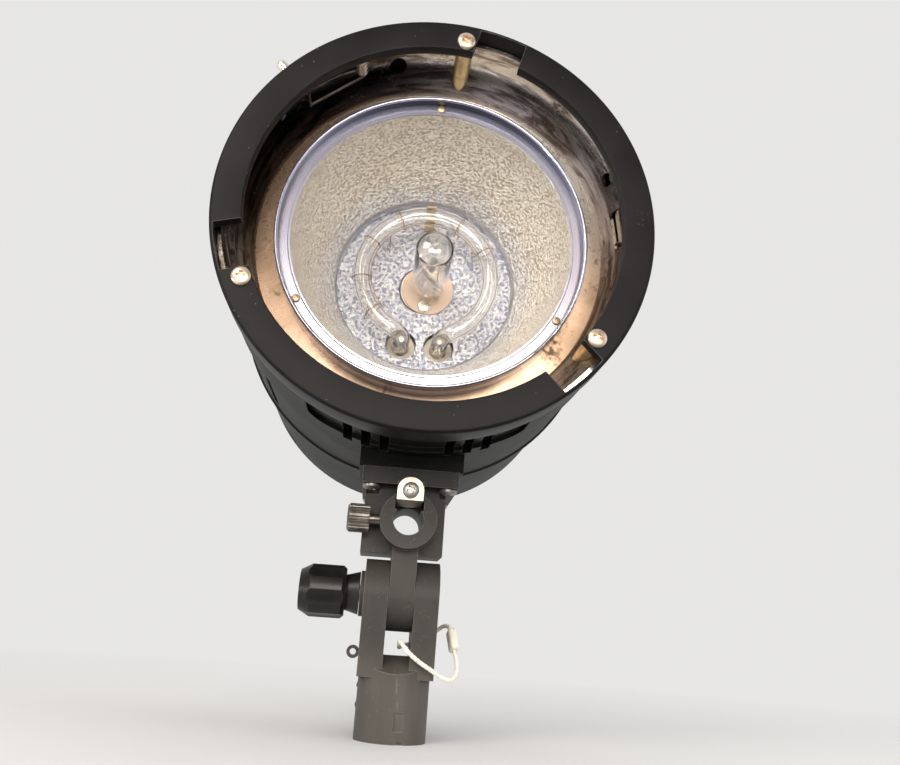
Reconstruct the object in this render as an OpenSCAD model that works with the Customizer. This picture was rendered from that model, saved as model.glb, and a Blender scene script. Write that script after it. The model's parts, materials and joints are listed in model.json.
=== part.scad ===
// Studio flash head on a tilting stand bracket.
// Z is up, the lamp faces -Y, and the origin is the centre of the stand socket's mouth.
// Inside head() the frame is turned: x to the right, y up, z forwards out of the lamp,
// with its zero at the middle of the front ring's face. A depth is a distance behind that face.

/* [Lamp position] */
// Distance from the hinge axis forwards to the front ring's face
front_reach = 55; // [50:1:60]

/* [Front ring] */
// Outside diameter of the front ring
ring_d = 152; // [150:0.5:160]
// Width of the ring's face
ring_w = 10.7; // [10:0.1:13]
// Thickness of the ring's face
ring_t = 4.5; // [3.5:0.5:5.5]
// Length of the ring's skirt behind its face
skirt_len = 14; // [13:0.5:15]
// Thickness of the skirt
skirt_t = 1.3; // [1:0.1:1.6]
// Width of each bayonet notch
notch_w = 17.2; // [14:0.2:20]
// Angle of the first notch, seen from the front
notch_angle = 75; // [70:1:80]
// Diameter of the three posts behind the ring
post_d = 6; // [5:0.2:6.4]

/* [Mount cup] */
// How far the cup's wall comes in between its rim and its floor
cup_run = 9; // [7:0.5:11]
// Depth of the cup's front rim
cup_rim_depth = 7.5; // [7:0.5:9]
// Depth of the cup's floor
cup_depth = 29.5; // [28:0.5:31]
// Thickness of the plated sheet
cup_t = 1; // [0.8:0.1:1.2]
// Travel of the release pin
pin_travel = 3.5; // [2:0.5:4]
// How far the release pin stands out of the ring's skirt
pin_out = 7; // [5.5:0.1:8]
// Diameter of the release pin
pin_d = 4; // [3:0.2:4.6]

/* [Reflector] */
// How far the crest of the rolled lip lies outside the bowl's edge
lip_step = 4.7; // [4:0.1:5.5]
// Depth of the crest of the lip
lip_depth = 17.8; // [16:0.2:20]
// Diameter of the bowl at its edge
bowl_d = 102.2; // [100:0.2:102.6]
// Diameter of the round well at the bottom of the bowl
well_d = 72; // [66:1:78]
// Depth of the well's rim
well_depth = 67; // [62:1:68]
// Depth of the well's floor below its rim
well_step = 3.5; // [2.5:0.5:6]
// Thickness of the spun sheet
bowl_t = 1; // [0.8:0.1:1.2]

/* [Flash tube and lamp] */
// Diameter of the flash tube's glass
flash_d = 7; // [6:0.5:8]
// Diameter of the flash tube's ring at the middle of the glass
flash_ring_d = 51.4; // [48:0.4:54]
// Height of the flash tube's ring above the well's floor
flash_rise = 14.5; // [12.5:0.5:17]
// Diameter of the modelling lamp's capsule
lamp_d = 14; // [11:0.5:15]
// Height of the modelling lamp's tip above the well's floor
lamp_len = 47; // [40:0.5:50]
// Place of the modelling lamp's axis to the right of the head's axis
lamp_x = 1.5; // [0:0.1:2]
// Place of the modelling lamp's axis above the head's axis
lamp_y = -1; // [-2:0.1:1]
// Turn of the modelling lamp's pins from level
lamp_turn = -32; // [-90:1:90]
// Distance between the modelling lamp's pins
lamp_pin_gap = 6.35; // [5.3:0.05:6.5]
// Diameter of the lamp's base plate
lamp_plate_d = 21; // [19:0.5:24]

/* [Body] */
// How far the body's side lies inside the ring's edge
body_step = 1; // [0.8:0.1:1.2]
// Depth of the seam between front cap and shells
cap_depth = 45; // [43:1:47]
// Depth of the raised bead round the body
bead_depth = 100; // [96:1:106]
// Length over which the tail draws in
tail_len = 32; // [26:1:38]
// Depth of the shells' back edge
shell_depth = 212; // [210:1:222]
// How far the tail draws in on each side
tail_in = 7; // [3:0.5:8]
// Wall of the moulded shells
shell_t = 2.5; // [2:0.1:3]
// Width of a vent slot
slot_w = 3.4; // [2.6:0.2:4]
// Thickness of the back panel
panel_t = 2.5; // [2:0.25:3.5]

/* [Back panel fittings] */
// Size of the square cooling fan
fan_size = 40; // [36:1:41]
// Diameter of the two dials
dial_d = 20; // [16:1:24]
// Radius of the sync socket's hole
jack_r = 3.25; // [3.2:0.01:3.3]
// Travel of the push buttons
button_travel = 2; // [1:0.5:2.5]

/* [Tilt bracket] */
// How far the body's mounting pad stands out from its side
pad_step = 5.4; // [3.8:0.1:6]
// Height of the mounting pad above the umbrella hole's axis
pad_rise = 19.1; // [18.8:0.1:24]
// Width of the bracket's top plate
plate_w = 35; // [34:0.5:40]
// Thickness of the top plate
plate_t = 6; // [5:0.2:9]
// Depth of the top plate's front edge behind the ring's face
plate_front = 43; // [42:0.5:44]
// Length of the top plate
plate_len = 50; // [46:1:54]
// Width of the bracket's block
block_w = 29.5; // [27:0.5:31]
// Outside diameter of the umbrella tube
tube_d = 20; // [18:0.5:21]
// Radius of the umbrella hole
umbrella_r = 5.35; // [4.5:0.05:5.6]
// Height of the umbrella hole above the hinge axis
umbrella_h = 25.5; // [25:0.5:27]

/* [Hinge and stand socket] */
// Height of the hinge axis above the socket mouth
hinge_h = 49; // [47:0.5:50]
// Radius of the rounded ends at the hinge
hinge_r = 12.4; // [11.6:0.2:12.8]
// Thickness of the web that turns between the ears
web_t = 9; // [8:0.2:9.4]
// Gap between the web and each ear
web_gap = 0.15; // [0.1:0.05:0.3]
// Thickness of each ear
ear_t = 8.6; // [7:0.2:9]
// Radius of the hinge bolt
bolt_r = 3; // [2.5:0.1:3.5]
// Running clearance round the bolt
bolt_clear = 0.06; // [0.02:0.01:0.1]
// Outside diameter of the stand socket
socket_d = 25.2; // [24:0.2:27]
// Radius of the stand socket's bore
socket_r = 8.1; // [8:0.05:8.3]
// Depth of the stand socket's bore
socket_depth = 24; // [20:0.5:25]
// Height of the crotch between the ears
crotch_h = 28.4; // [27.5:0.2:29.5]
// Diameter of the tilt knob
knob_d = 18.6; // [16:0.2:20]
// Length of the tilt knob's barrel
knob_len = 16.3; // [14:0.1:18]
// Diameter of the stand lock knob
lock_knob_d = 27; // [22:0.5:28]

/* [Hidden] */
$fn = 96;
eps = 0.01;
seat = 0.3;
ring_r = ring_d / 2;
open_r = ring_r - ring_w;
skirt_r = ring_r - skirt_t;
edge_round = 1.2;
body_r = ring_r - body_step;
neck_r = body_r - 1.4;
cup_rim_r = skirt_r - 1.7;
cup_floor_r = cup_rim_r - cup_run;
// The neck goes round the cup's wall where it starts behind the skirt
neck_in = cup_out_at(skirt_len + seat) + 0.27;
post_r = post_d / 2;
post_circle = neck_in - 0.2 - post_r;
post_angle = notch_angle + 10.2;
screw_r = 1.5;
bead_r = 0.7;
bowl_r = bowl_d / 2;
lip_r = bowl_r + lip_step;
well_floor = well_depth + well_step;
flash_depth = well_floor - flash_rise;
lamp_tip = well_floor - lamp_len;
well_r = well_d / 2;
bowl_edge_depth = lip_depth + 3.7;
ledge_depth = lip_depth + 4.2;
bowl_drop = well_depth - bowl_edge_depth;
bowl_axis_r = ((bowl_r + well_r) - bowl_drop * bowl_drop / (bowl_r - well_r)) / 2;
bowl_arc_r = bowl_r - bowl_axis_r;
lip_screw_r = 0.9;
lip_screw_circle = lip_r - 2.2;
flash_r = flash_d / 2;
flash_ring_r = flash_ring_d / 2;
leg_bend = 6;
leg_angle = 17;
flash_end = leg_angle + atan(leg_bend / flash_ring_r);
leg_circle = norm([flash_ring_r, leg_bend]);
leg_bottom = well_floor + 12;
insulator_r = flash_r + 2.4;
leg_hole_r = flash_r + 2.7;
lamp_r = lamp_d / 2;
lamp_plate_r = lamp_plate_d / 2;
lamp_socket_r = lamp_plate_r - 0.75;
lamp_hole_r = lamp_plate_r - 0.2;
lamp_dome = 3.2;
lamp_hole_pos = [lamp_x - 1.5, lamp_y, 0];
lamp_screw_pos = [lamp_x - 1, lamp_y + 3 - lamp_plate_r, 0];
deck_depth = leg_bottom + 7.5;
deck_t = 1.6;
shoulder_r = body_r + 0.5;
shoulder_depth = skirt_len + 1.6;
inner_r = body_r - shell_t;
tail_r = body_r - tail_in;
tail_depth = shell_depth - tail_len;
pad_w = plate_w + 3;
pad_drop = body_r + pad_step;
ledge_t = 3;
panel_back = shell_depth + panel_t;
plug_r = tail_r - shell_t - seat;
board_y = -30;
board_half = inner_r - 20.5;
inlet_len = 20;
board_end = shell_depth - inlet_len - 12;
cap_can_r = 17.5;
cap_can_len = board_end - deck_depth - 18;
control_depth = shell_depth - 12;
fan_y = sqrt(pow(plug_r - 1.9, 2) - fan_size * fan_size / 4) - fan_size / 2 - 3.06;
fan_t = 10;
fan_hole_r = fan_size / 2 - 1;
dial_x = plug_r - 31.2;
dial_r = dial_d / 2;
shaft_r = 3;
button_r = 3.4;
dial_lift = 0.6;
switch_pos = [32.2 - plug_r, 32.2 - plug_r];
fuse_pos = [plug_r - 32.2, 32.2 - plug_r];
inlet_y = 26.2 - plug_r;
jack_pos = [plug_r - 19.2, 22];
cell_pos = [19.2 - plug_r, 22];
test_pos = [-9, -2];
cell_button_pos = [9, -2];
ready_pos = [0, 8];
umbrella_z = hinge_h + umbrella_h;
pad_h = umbrella_z + pad_rise;
axis_h = pad_h + pad_drop;
plate_bottom = pad_h - plate_t;
block_bottom = umbrella_z - tube_d / 2 - 1.1;
block_front = -6;
block_back = 16;
block_shift = -1.2;
tube_front = -19;
clip_w = 9.4;
clip_t = 0.6;
clip_screw_z = plate_bottom - 2.9;
screw_pad_top = clip_screw_z + 3.4;
pocket_back = -6.5;
thumb_y = -12;
thumb_r = 1.9;
ear_in = web_t / 2 + web_gap;
ear_out = ear_in + ear_t;
boss_t = 1.4;
boss_r = 8;
knob_in = -(ear_out + boss_t + 0.25);
neck_len = 5;
knob_mid = knob_in - neck_len;
knob_out = knob_mid - knob_len;
insert_r = 4.5;
lock_h = 13;
lock_screw_r = 4;
lock_boss_out = socket_d / 2 + 4;
lock_knob_len = 15;
eye_x = -(ear_out + 2.1);
eye_h = crotch_h + 0.3;
cord_r = 0.8;
cord_sides = 8;
// Route of the tag string, as round numbers: out of one end of the seal, behind the
// right ear, forwards through the gap under the web and back to the seal in front.
cord_route = [[19.2, 2, 38.3], [18.4, 4.8, 39.6], [17, 8, 39.6], [15.2, 11, 38.2], [12.4, 12.8, 35.8],
    [9, 13.2, 34], [5.2, 12.4, 32.4], [2.4, 9.5, 32], [1.2, 4, 31.4], [0.9, -2, 31.6],
    [0.7, -7.5, 32.6], [0.5, -11.2, 33.6], [1, -13.4, 33.2], [3.2, -14.6, 30.6], [7, -15, 27.6],
    [11.4, -15, 25], [15.4, -14.4, 22.8], [18.6, -12.6, 21.8], [20.8, -9.8, 23.4], [21.4, -6.6, 27],
    [20.4, -3.2, 31.4]];

// Point where a line from p just touches a circle of radius r about the origin
function touch_point(p, r) = let(a = atan2(p[1], p[0]) + acos(r / norm(p))) r * [cos(a), sin(a)];
// Radius of the bowl's inner face at a depth
function bowl_at(d) = bowl_axis_r + sqrt(bowl_arc_r * bowl_arc_r - pow(d - bowl_edge_depth, 2));
// Radius of the cup's inner wall at a depth
function cup_at(d) = cup_rim_r - (cup_rim_r - cup_floor_r) * (d - cup_rim_depth - cup_t)
    / (cup_depth - cup_rim_depth - cup_t);
// Radius of the cup's outer wall at a depth
function cup_out_at(d) = cup_rim_r + cup_t - cup_run * (d - cup_rim_depth - cup_t)
    / (cup_depth - cup_rim_depth);
function unit(v) = v / norm(v);

module head() translate([0, -front_reach, axis_h]) rotate([90, 0, 0]) children();
module disc(d0, d1, r) translate([0, 0, -d1]) cylinder(h = d1 - d0, r = r);
module pipe(d0, d1, r_out, r_in) difference() {
    disc(d0, d1, r_out);
    disc(d0 - 1, d1 + 1, r_in);
}
module spin3(first) for (i = [0:2]) rotate([0, 0, first + 120 * i]) children();
module block(x, y, d0, d1) translate([x[0], y[0], -d1]) cube([x[1] - x[0], y[1] - y[0], d1 - d0]);

// A pan head with a cross recess, its shank along -Z from the seat at z = 0
module pan_screw(head_r, head_h, shank_r, shank_len) {
    difference() {
        intersection() {
            cylinder(h = head_h, r = head_r);
            translate([0, 0, head_h - head_r * 1.9]) sphere(r = head_r * 1.9, $fn = 64);
        }
        for (a = [0, 90]) rotate([0, 0, a])
            translate([-head_r * 0.55, -head_r * 0.11, head_h - head_r * 0.3])
                cube([head_r * 1.1, head_r * 0.22, head_r]);
    }
    translate([0, 0, -shank_len]) cylinder(h = shank_len + eps, r = shank_r);
}

// Stand side

module ear_profile() {
    foot = [9.8, 21 - hinge_h];
    top = touch_point(foot, hinge_r);
    circle(r = hinge_r);
    polygon([foot, top, [-top[0], top[1]], [-foot[0], foot[1]]]);
}
module along_x(x0, x1) translate([x0, 0, hinge_h]) rotate([90, 0, 90]) linear_extrude(x1 - x0) children();
module socket_profile() {
    r = socket_d / 2 + 1;
    polygon([[-r, -hinge_h], [r, -hinge_h], [r, 22 - hinge_h], [3, crotch_h - hinge_h],
        [-3, crotch_h - hinge_h], [-r, 22 - hinge_h]]);
}
module stand_fork() color([0.2, 0.2, 0.2]) difference() {
    union() {
        intersection() {
            cylinder(h = crotch_h, r = socket_d / 2);
            along_x(-socket_d, socket_d) socket_profile();
        }
        along_x(-ear_out, -ear_in) ear_profile();
        along_x(ear_in, ear_out) ear_profile();
        translate([-ear_out - boss_t, 0, hinge_h]) rotate([0, 90, 0]) cylinder(h = boss_t + 1, r = boss_r);
        translate([0, 0, lock_h]) rotate([-90, 0, 0]) cylinder(h = lock_boss_out, r = 7.5);
        translate([eye_x, 3, eye_h]) rotate([-90, 0, 0]) cylinder(h = 2.2, r = 2.3, $fn = 32);
    }
    translate([0, 0, -1]) cylinder(h = socket_depth + 1, r = socket_r);
    translate([-2 * ear_out, 0, hinge_h]) rotate([0, 90, 0])
        cylinder(h = 4 * ear_out, r = bolt_r + bolt_clear, $fn = 48);
    translate([ear_out - 4.2, 0, hinge_h]) rotate([0, 90, 0]) cylinder(h = 6, r = bolt_r * 1.95, $fn = 6);
    translate([0, socket_r / 2, lock_h]) rotate([-90, 0, 0])
        cylinder(h = lock_boss_out, r = lock_screw_r + bolt_clear, $fn = 48);
    translate([eye_x, 0, eye_h]) rotate([-90, 0, 0]) cylinder(h = 9, r = 1.1, $fn = 32);
    translate([0.4, -socket_d / 2 - 1, 4.2]) cube([5.4, 1.7, 6]);
    translate([2, -socket_d / 2 - 1, -1]) cube([2.2, 2, 2]);
}
module hinge_bolt() color([0.6, 0.6, 0.58]) {
    translate([knob_mid - 8, 0, hinge_h]) rotate([0, 90, 0])
        cylinder(h = ear_out - 0.2 - knob_mid + 8, r = bolt_r, $fn = 48);
    translate([ear_out - 4.1, 0, hinge_h]) rotate([0, 90, 0]) cylinder(h = 3.9, r = bolt_r * 1.88, $fn = 6);
}

// One ring of the cord's tube about point i of the route
function cord_dir(i) = unit(cord_route[min(i + 1, len(cord_route) - 1)] - cord_route[max(i - 1, 0)]);
function cord_side(i) = unit(cross(cord_dir(i), abs(cord_dir(i)[2]) > 0.9 ? [1, 0, 0] : [0, 0, 1]));
function cord_ring(i) = let(s = cord_side(i), u = cross(s, cord_dir(i)))
    [for (k = [0:cord_sides - 1]) cord_route[i]
        + cord_r * (cos(360 * k / cord_sides) * s + sin(360 * k / cord_sides) * u)];
module tag_string() color([0.9, 0.88, 0.82]) {
    n = len(cord_route);
    points = [for (i = [0:n - 1]) each cord_ring(i)];
    walls = [for (i = [0:n - 2], k = [0:cord_sides - 1]) let(a = i * cord_sides, k1 = (k + 1) % cord_sides)
        each [[a + k, a + k1, a + cord_sides + k1], [a + k, a + cord_sides + k1, a + cord_sides + k]]];
    ends = [[for (k = [cord_sides - 1:-1:0]) k], [for (k = [0:cord_sides - 1]) (n - 1) * cord_sides + k]];
    polyhedron(points, concat(walls, ends));
}
// The seal's own frame has z along it, from the string's last point to its first
module tag_seal() color([0.93, 0.9, 0.82]) {
    last = cord_route[len(cord_route) - 1];
    span = cord_route[0] - last;
    turn = [0, acos(span[2] / norm(span)), atan2(span[1], span[0])];
    translate(last) rotate(turn) difference() {
        union() {
            translate([-1.5, -2.1, 0.05]) cube([3, 4.2, norm(span) - 0.1]);
            translate([0, 0, norm(span) * 0.35]) cylinder(h = norm(span) * 0.3, r = 2.5, $fn = 32);
        }
    }
}
module stand_lock_screw() color([0.7, 0.7, 0.68])
    translate([0, socket_r + 0.2, lock_h]) rotate([-90, 0, 0])
        cylinder(h = lock_boss_out - socket_r + 10, r = lock_screw_r, $fn = 48);
module stand_lock_knob() color([0.13, 0.13, 0.13])
    translate([0, lock_boss_out + 0.3, lock_h]) rotate([-90, 0, 0]) difference() {
        union() {
            cylinder(h = 4, r = 7);
            translate([0, 0, 3]) cylinder(h = lock_knob_len - 5, r = lock_knob_d / 2);
            translate([0, 0, lock_knob_len - 2 - eps])
                cylinder(h = 2, r1 = lock_knob_d / 2, r2 = lock_knob_d / 2 - 1.6);
        }
        for (a = [0:60:300]) rotate([0, 0, a])
            translate([lock_knob_d / 2 + 3.4, 0, 3 - eps]) cylinder(h = lock_knob_len, r = 5, $fn = 48);
        translate([0, 0, -1]) cylinder(h = 11, r = lock_screw_r + 0.02, $fn = 48);
    }
module tilt_knob() color([0.15, 0.15, 0.15])
    translate([knob_in, 0, hinge_h]) rotate([0, -90, 0]) difference() {
        union() {
            cylinder(h = neck_len + eps, r1 = boss_r - 0.4, r2 = 6.2);
            translate([0, 0, neck_len]) cylinder(h = 1.2, r1 = knob_d / 2 - 1, r2 = knob_d / 2);
            translate([0, 0, neck_len + 1.2 - eps]) cylinder(h = knob_len - 5.2, r = knob_d / 2);
            translate([0, 0, neck_len + knob_len - 4 - 2 * eps])
                cylinder(h = 4, r1 = knob_d / 2, r2 = knob_d / 2 - 2.2);
        }
        for (a = [0:60:300]) rotate([0, 0, a + 15])
            translate([knob_d / 2 + 13.4, 0, neck_len - 1]) cylinder(h = knob_len + 3, r = 14, $fn = 64);
        translate([0, 0, -1]) cylinder(h = 1 + neck_len + 10, r = insert_r + 0.02, $fn = 48);
    }
module knob_insert() color([0.75, 0.6, 0.3])
    translate([knob_in, 0, hinge_h]) rotate([0, -90, 0]) difference() {
        cylinder(h = neck_len + 9.8, r = insert_r, $fn = 48);
        translate([0, 0, -1]) cylinder(h = 2 + neck_len + 9.8, r = bolt_r + bolt_clear, $fn = 48);
    }

// Tilt bracket, fixed under the body

module tilt_bracket() color([0.16, 0.16, 0.16]) difference() {
    union() {
        translate([-plate_w / 2, plate_front - front_reach, plate_bottom])
            cube([plate_w, plate_len, plate_t]);
        translate([block_shift - block_w / 2, block_front, block_bottom])
            cube([block_w, block_back - block_front, plate_bottom - block_bottom + 1]);
        translate([0, tube_front, umbrella_z]) rotate([-90, 0, 0])
            cylinder(h = block_back - tube_front, r = tube_d / 2);
        translate([-4.6, tube_front, umbrella_z]) cube([9.2, 12, screw_pad_top - umbrella_z]);
        along_x(-web_t / 2, web_t / 2) {
            circle(r = hinge_r);
            translate([-hinge_r, 0]) square([2 * hinge_r, block_bottom - hinge_h + 2]);
        }
    }
    translate([0, tube_front - 1, umbrella_z]) rotate([-90, 0, 0])
        cylinder(h = block_back - tube_front + 2, r = umbrella_r);
    translate([-clip_w / 2 - 0.4, tube_front - 1, umbrella_z + umbrella_r - 2])
        cube([clip_w + 0.8, pocket_back - tube_front + 1, 4.4]);
    translate([-web_t, 0, hinge_h]) rotate([0, 90, 0])
        cylinder(h = 2 * web_t, r = bolt_r + bolt_clear, $fn = 48);
    translate([-tube_d, thumb_y, umbrella_z]) rotate([0, 90, 0])
        cylinder(h = tube_d, r = thumb_r + bolt_clear, $fn = 48);
    translate([0, tube_front - 1, clip_screw_z]) rotate([-90, 0, 0]) cylinder(h = 8, r = 1.3, $fn = 32);
    for (x = [-1, 1], y = [plate_front + 4, plate_front + plate_len - 5])
        translate([x * (plate_w / 2 - 3.6), y - front_reach, plate_bottom - 1])
            cylinder(h = plate_t + 2, r = 1.9, $fn = 32);
    for (x = [-1, 1]) translate([x * (plate_w / 2 - 3.6), plate_front + 4 - front_reach, plate_bottom - 3.4])
        cylinder(h = 3.4 + eps, r = bracket_head_r + seat, $fn = 48);
}
bracket_head_r = 3.2;
module bracket_screws() color([0.75, 0.75, 0.72])
    for (x = [-1, 1], y = [plate_front + 4, plate_front + plate_len - 5])
        translate([x * (plate_w / 2 - 3.6), y - front_reach, plate_bottom]) rotate([180, 0, 0])
            pan_screw(bracket_head_r, 2.2, 1.7, plate_t + (y > cap_depth + 5 ? 8 : 2));
module clip_leaf(len, drop) {
    polygon([[0, 0], [len, -drop], [len, clip_t - drop], [clip_t, clip_t], [clip_t, 1.4], [0, 1.4]]);
}
module umbrella_clip() color([0.8, 0.79, 0.76]) {
    front = tube_front - clip_t;
    bend = umbrella_z + umbrella_r + 1.4;
    top = clip_screw_z;
    difference() {
        translate([0, tube_front, 0]) rotate([90, 0, 0]) linear_extrude(clip_t) {
            intersection() {
                translate([0, top]) circle(r = clip_w / 2, $fn = 64);
                translate([-clip_w / 2, bend + 1]) square([clip_w, clip_w + top - bend]);
            }
            translate([-clip_w / 2, bend + 1]) square([clip_w, top - bend - 1]);
        }
        translate([0, front - 1, clip_screw_z]) rotate([-90, 0, 0]) cylinder(h = 3, r = 1.3, $fn = 32);
    }
    translate([-clip_w / 2, front, bend]) rotate([90, 0, 90]) linear_extrude(clip_w) clip_leaf(11.6, 1.2);
}
module umbrella_clip_screw() color([0.78, 0.77, 0.74])
    translate([0, tube_front - clip_t, clip_screw_z]) rotate([90, 0, 0]) pan_screw(2.9, 1.5, 1.2, 6);
module umbrella_thumbscrew() color([0.2, 0.2, 0.2])
    translate([0, thumb_y, umbrella_z]) rotate([0, -90, 0]) {
        translate([0, 0, umbrella_r + 0.15])
            cylinder(h = tube_d / 2 - umbrella_r + 6, r = thumb_r, $fn = 48);
        translate([0, 0, tube_d / 2 + 3.6]) difference() {
            union() {
                cylinder(h = 7, r = 5.1);
                translate([0, 0, 7 - eps]) cylinder(h = 0.8, r1 = 5.1, r2 = 4.3);
            }
            for (a = [0:15:345]) rotate([0, 0, a])
                translate([5.35, 0, -eps]) cylinder(h = 9, r = 0.5, $fn = 4);
        }
    }

// Front ring and accessory mount

module ring_section() {
    translate([open_r, -ring_t]) square([ring_r - edge_round - open_r, ring_t]);
    translate([open_r, -ring_t]) square([ring_w, ring_t - edge_round]);
    translate([ring_r - edge_round, -edge_round]) circle(r = edge_round, $fn = 48);
}
module front_ring() color([0.05, 0.05, 0.05]) head() difference() {
    rotate_extrude($fn = 180) ring_section();
    spin3(notch_angle) intersection() {
        translate([open_r - 10, -notch_w / 2, -ring_t - 1]) cube([20, notch_w, ring_t + 2]);
        disc(-1, ring_t + 1, skirt_r);
    }
    spin3(post_angle) translate([post_circle, 0, -ring_t - 1])
        cylinder(h = ring_t + 2, r = screw_r + 0.1, $fn = 32);
}
// The ring's skirt, bored for the release pin
module ring_skirt() color([0.05, 0.05, 0.05]) head() difference() {
    pipe(ring_t, skirt_len, ring_r, skirt_r);
    rotate([0, 0, release_angle]) translate([0, 0, -release_depth]) rotate([0, 90, 0])
        cylinder(h = ring_r + 5, r = pin_d / 2 + 0.25, $fn = 48);
}
release_angle = 137;
release_depth = ring_t + pin_d / 2 + 0.6;
module ring_screws() color([0.86, 0.83, 0.76]) head()
    spin3(post_angle) translate([post_circle, 0, 0]) pan_screw(3.25, 1.8, screw_r, 12);
module ring_posts() color([0.8, 0.74, 0.6]) head() spin3(post_angle)
    translate([post_circle, 0, 0]) difference() {
        disc(ring_t, cup_depth + cup_t, post_r);
        disc(ring_t - 1, 12.5, screw_r + 0.1);
    }
module cup_section() {
    rim = [cup_rim_r, cup_rim_depth];
    polygon([[rim[0], -rim[1]], [skirt_r - seat, -rim[1]], [skirt_r - seat, -rim[1] - cup_t],
        [rim[0] + cup_t, -rim[1] - cup_t], [cup_floor_r + cup_t, -cup_depth - cup_t],
        [floor_in_r, -cup_depth - cup_t], [floor_in_r, -cup_depth], [cup_floor_r, -cup_depth],
        [rim[0], -rim[1] - cup_t]]);
}
floor_in_r = bowl_r + bowl_t * 0.6 + seat;
module mount_cup() color([0.74, 0.68, 0.58]) head() difference() {
    rotate_extrude($fn = 180) cup_section();
    spin3(post_angle) translate([post_circle, 0, 0]) disc(cup_rim_depth - 1, cup_depth + 2, post_r + 0.2);
    at_lip_screws() disc(cup_depth - 1, cup_depth + 3, lip_screw_r + 0.1);
    radial(105, 17) cylinder(h = 20, r = 3.15, $fn = 48);
    spin3(cup_screw_angle) translate([cup_floor_r - 14, 0, -cup_screw_depth]) rotate([0, 90, 0])
        cylinder(h = 30, r = cup_screw_head + seat, $fn = 48);
    radial(release_angle, release_depth) cylinder(h = 20, r = pin_d / 2 + 0.25, $fn = 48);
    rotate([0, 0, 9]) translate([cup_floor_r - 4, -7, -22]) cube([20, 14, 6.5]);
}
reflector_angle = 90.4;
module at_lip_screws() spin3(reflector_angle) translate([lip_screw_circle, 0, 0]) children();
cup_screw_angle = 25;
cup_screw_depth = 17.5;
cup_screw_head = 2.1;
spring_post_angle = 117;
spring_post_r = open_r + 3.1;
spring_pin_r = 0.9;
spring_wire_r = 0.5;
wire_offset = spring_pin_r + spring_wire_r + 0.05;
pin_inner_r = open_r + 1.6;
// From the spring post to the wire's end, which bears on the release pin
to_pin = (pin_inner_r - spring_wire_r - 0.06) * [cos(release_angle), sin(release_angle)]
    - spring_post_r * [cos(spring_post_angle), sin(spring_post_angle)];
spring_reach = sqrt(to_pin * to_pin - wire_offset * wire_offset);
spring_lean = atan2(to_pin[1], to_pin[0]) + 360 - 90 - atan(wire_offset / spring_reach) - spring_post_angle;
module radial(angle, d) rotate([0, 0, angle]) translate([open_r - 10.3, 0, -d]) rotate([0, 90, 0])
    children();
// Screws that lie along a radius, sunk in the cup's wall and driven into the front cap's neck
module cup_screws() color([0.3, 0.3, 0.3]) head() spin3(cup_screw_angle)
    translate([neck_in - 0.06, 0, -cup_screw_depth]) rotate([0, -90, 0])
        pan_screw(cup_screw_head, 1.2, 1.4, neck_r - neck_in - 0.3);
module release_pin() color([0.82, 0.8, 0.72]) head() rotate([0, 0, release_angle])
    translate([0, 0, -release_depth]) rotate([0, 90, 0]) {
        translate([0, 0, pin_inner_r]) cylinder(h = 5, r = pin_d / 2 - 0.8, $fn = 48);
        translate([0, 0, pin_inner_r + 3])
            cylinder(h = ring_r + pin_out - pin_d / 2 - pin_inner_r - 3, r = pin_d / 2, $fn = 48);
        translate([0, 0, ring_r + pin_out - pin_d / 2]) sphere(r = pin_d / 2, $fn = 48);
    }
module spring_post() color([0.84, 0.78, 0.62]) head() rotate([0, 0, spring_post_angle])
    translate([spring_post_r, 0, 0]) {
        disc(ring_t, coil_depth - 0.1, 2.2);
        disc(coil_depth - 0.5, coil_depth + 2.8, spring_pin_r);
    }
// The wire turns about the spring post and bears on the release pin's inner end
module lock_spring() color([0.85, 0.83, 0.78]) head() rotate([0, 0, spring_post_angle])
    translate([spring_post_r, 0, 0]) {
        pipe(coil_depth, coil_depth + 1.9, spring_pin_r + 0.6, spring_pin_r + 0.06);
        rotate([0, 0, spring_lean]) translate([-wire_offset, 0, -coil_depth - 1.3]) rotate([-90, 0, 0])
            cylinder(h = spring_reach, r = spring_wire_r, $fn = 24);
        rotate([0, 0, spring_lean]) translate([-wire_offset, spring_reach, -coil_depth - 1.75])
            cylinder(h = coil_depth + 1.75 - release_depth + 0.9, r = spring_wire_r, $fn = 24);
    }
coil_depth = 13.5;
module rattle_spring() color([0.85, 0.83, 0.8]) head() rotate([0, 0, 9])
    translate([cup_at(19) + 1.3, 0, 0]) {
        block([-1.1, -0.5], [-6.4, 6.4], 16.8, 20.6);
        block([-3.4, -0.5], [-6.4, -5.8], 17.4, 20);
        block([-0.6, 1.6], [5.6, 6.4], 16.8, 20.6);
    }

// Reflector, flash tube and modelling lamp

function bowl_arc(r, steps) = [for (i = [0:steps])
    let(a = asin(bowl_drop / bowl_arc_r) * i / steps)
        [bowl_axis_r + r * cos(a), -bowl_edge_depth - r * sin(a)]];
module bowl_section() {
    steps = 18;
    inner = bowl_arc(bowl_arc_r, steps);
    outer = bowl_arc(bowl_arc_r + bowl_t, steps);
    skirt = lip_r + bead_r;
    polygon(concat(
        [[lip_r, -ledge_depth], [bowl_r + 0.9, -ledge_depth], [bowl_r + 0.6, -bowl_edge_depth]],
        inner,
        [[well_r, -well_floor], [0, -well_floor], [0, -well_floor - bowl_t],
            [well_r + bowl_t, -well_floor - bowl_t]],
        [for (i = [steps:-1:1]) outer[i]],
        [[bowl_r + bowl_t, -ledge_depth - bowl_t - 0.4], [skirt - bowl_t, -ledge_depth - bowl_t],
            [skirt - bowl_t, -cup_depth], [skirt, -cup_depth], [skirt, -lip_depth - bead_r],
            [lip_r - bead_r, -lip_depth - bead_r], [lip_r - bead_r, -ledge_depth]]));
    translate([lip_r, -lip_depth - bead_r]) circle(r = bead_r, $fn = 32);
}
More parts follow.
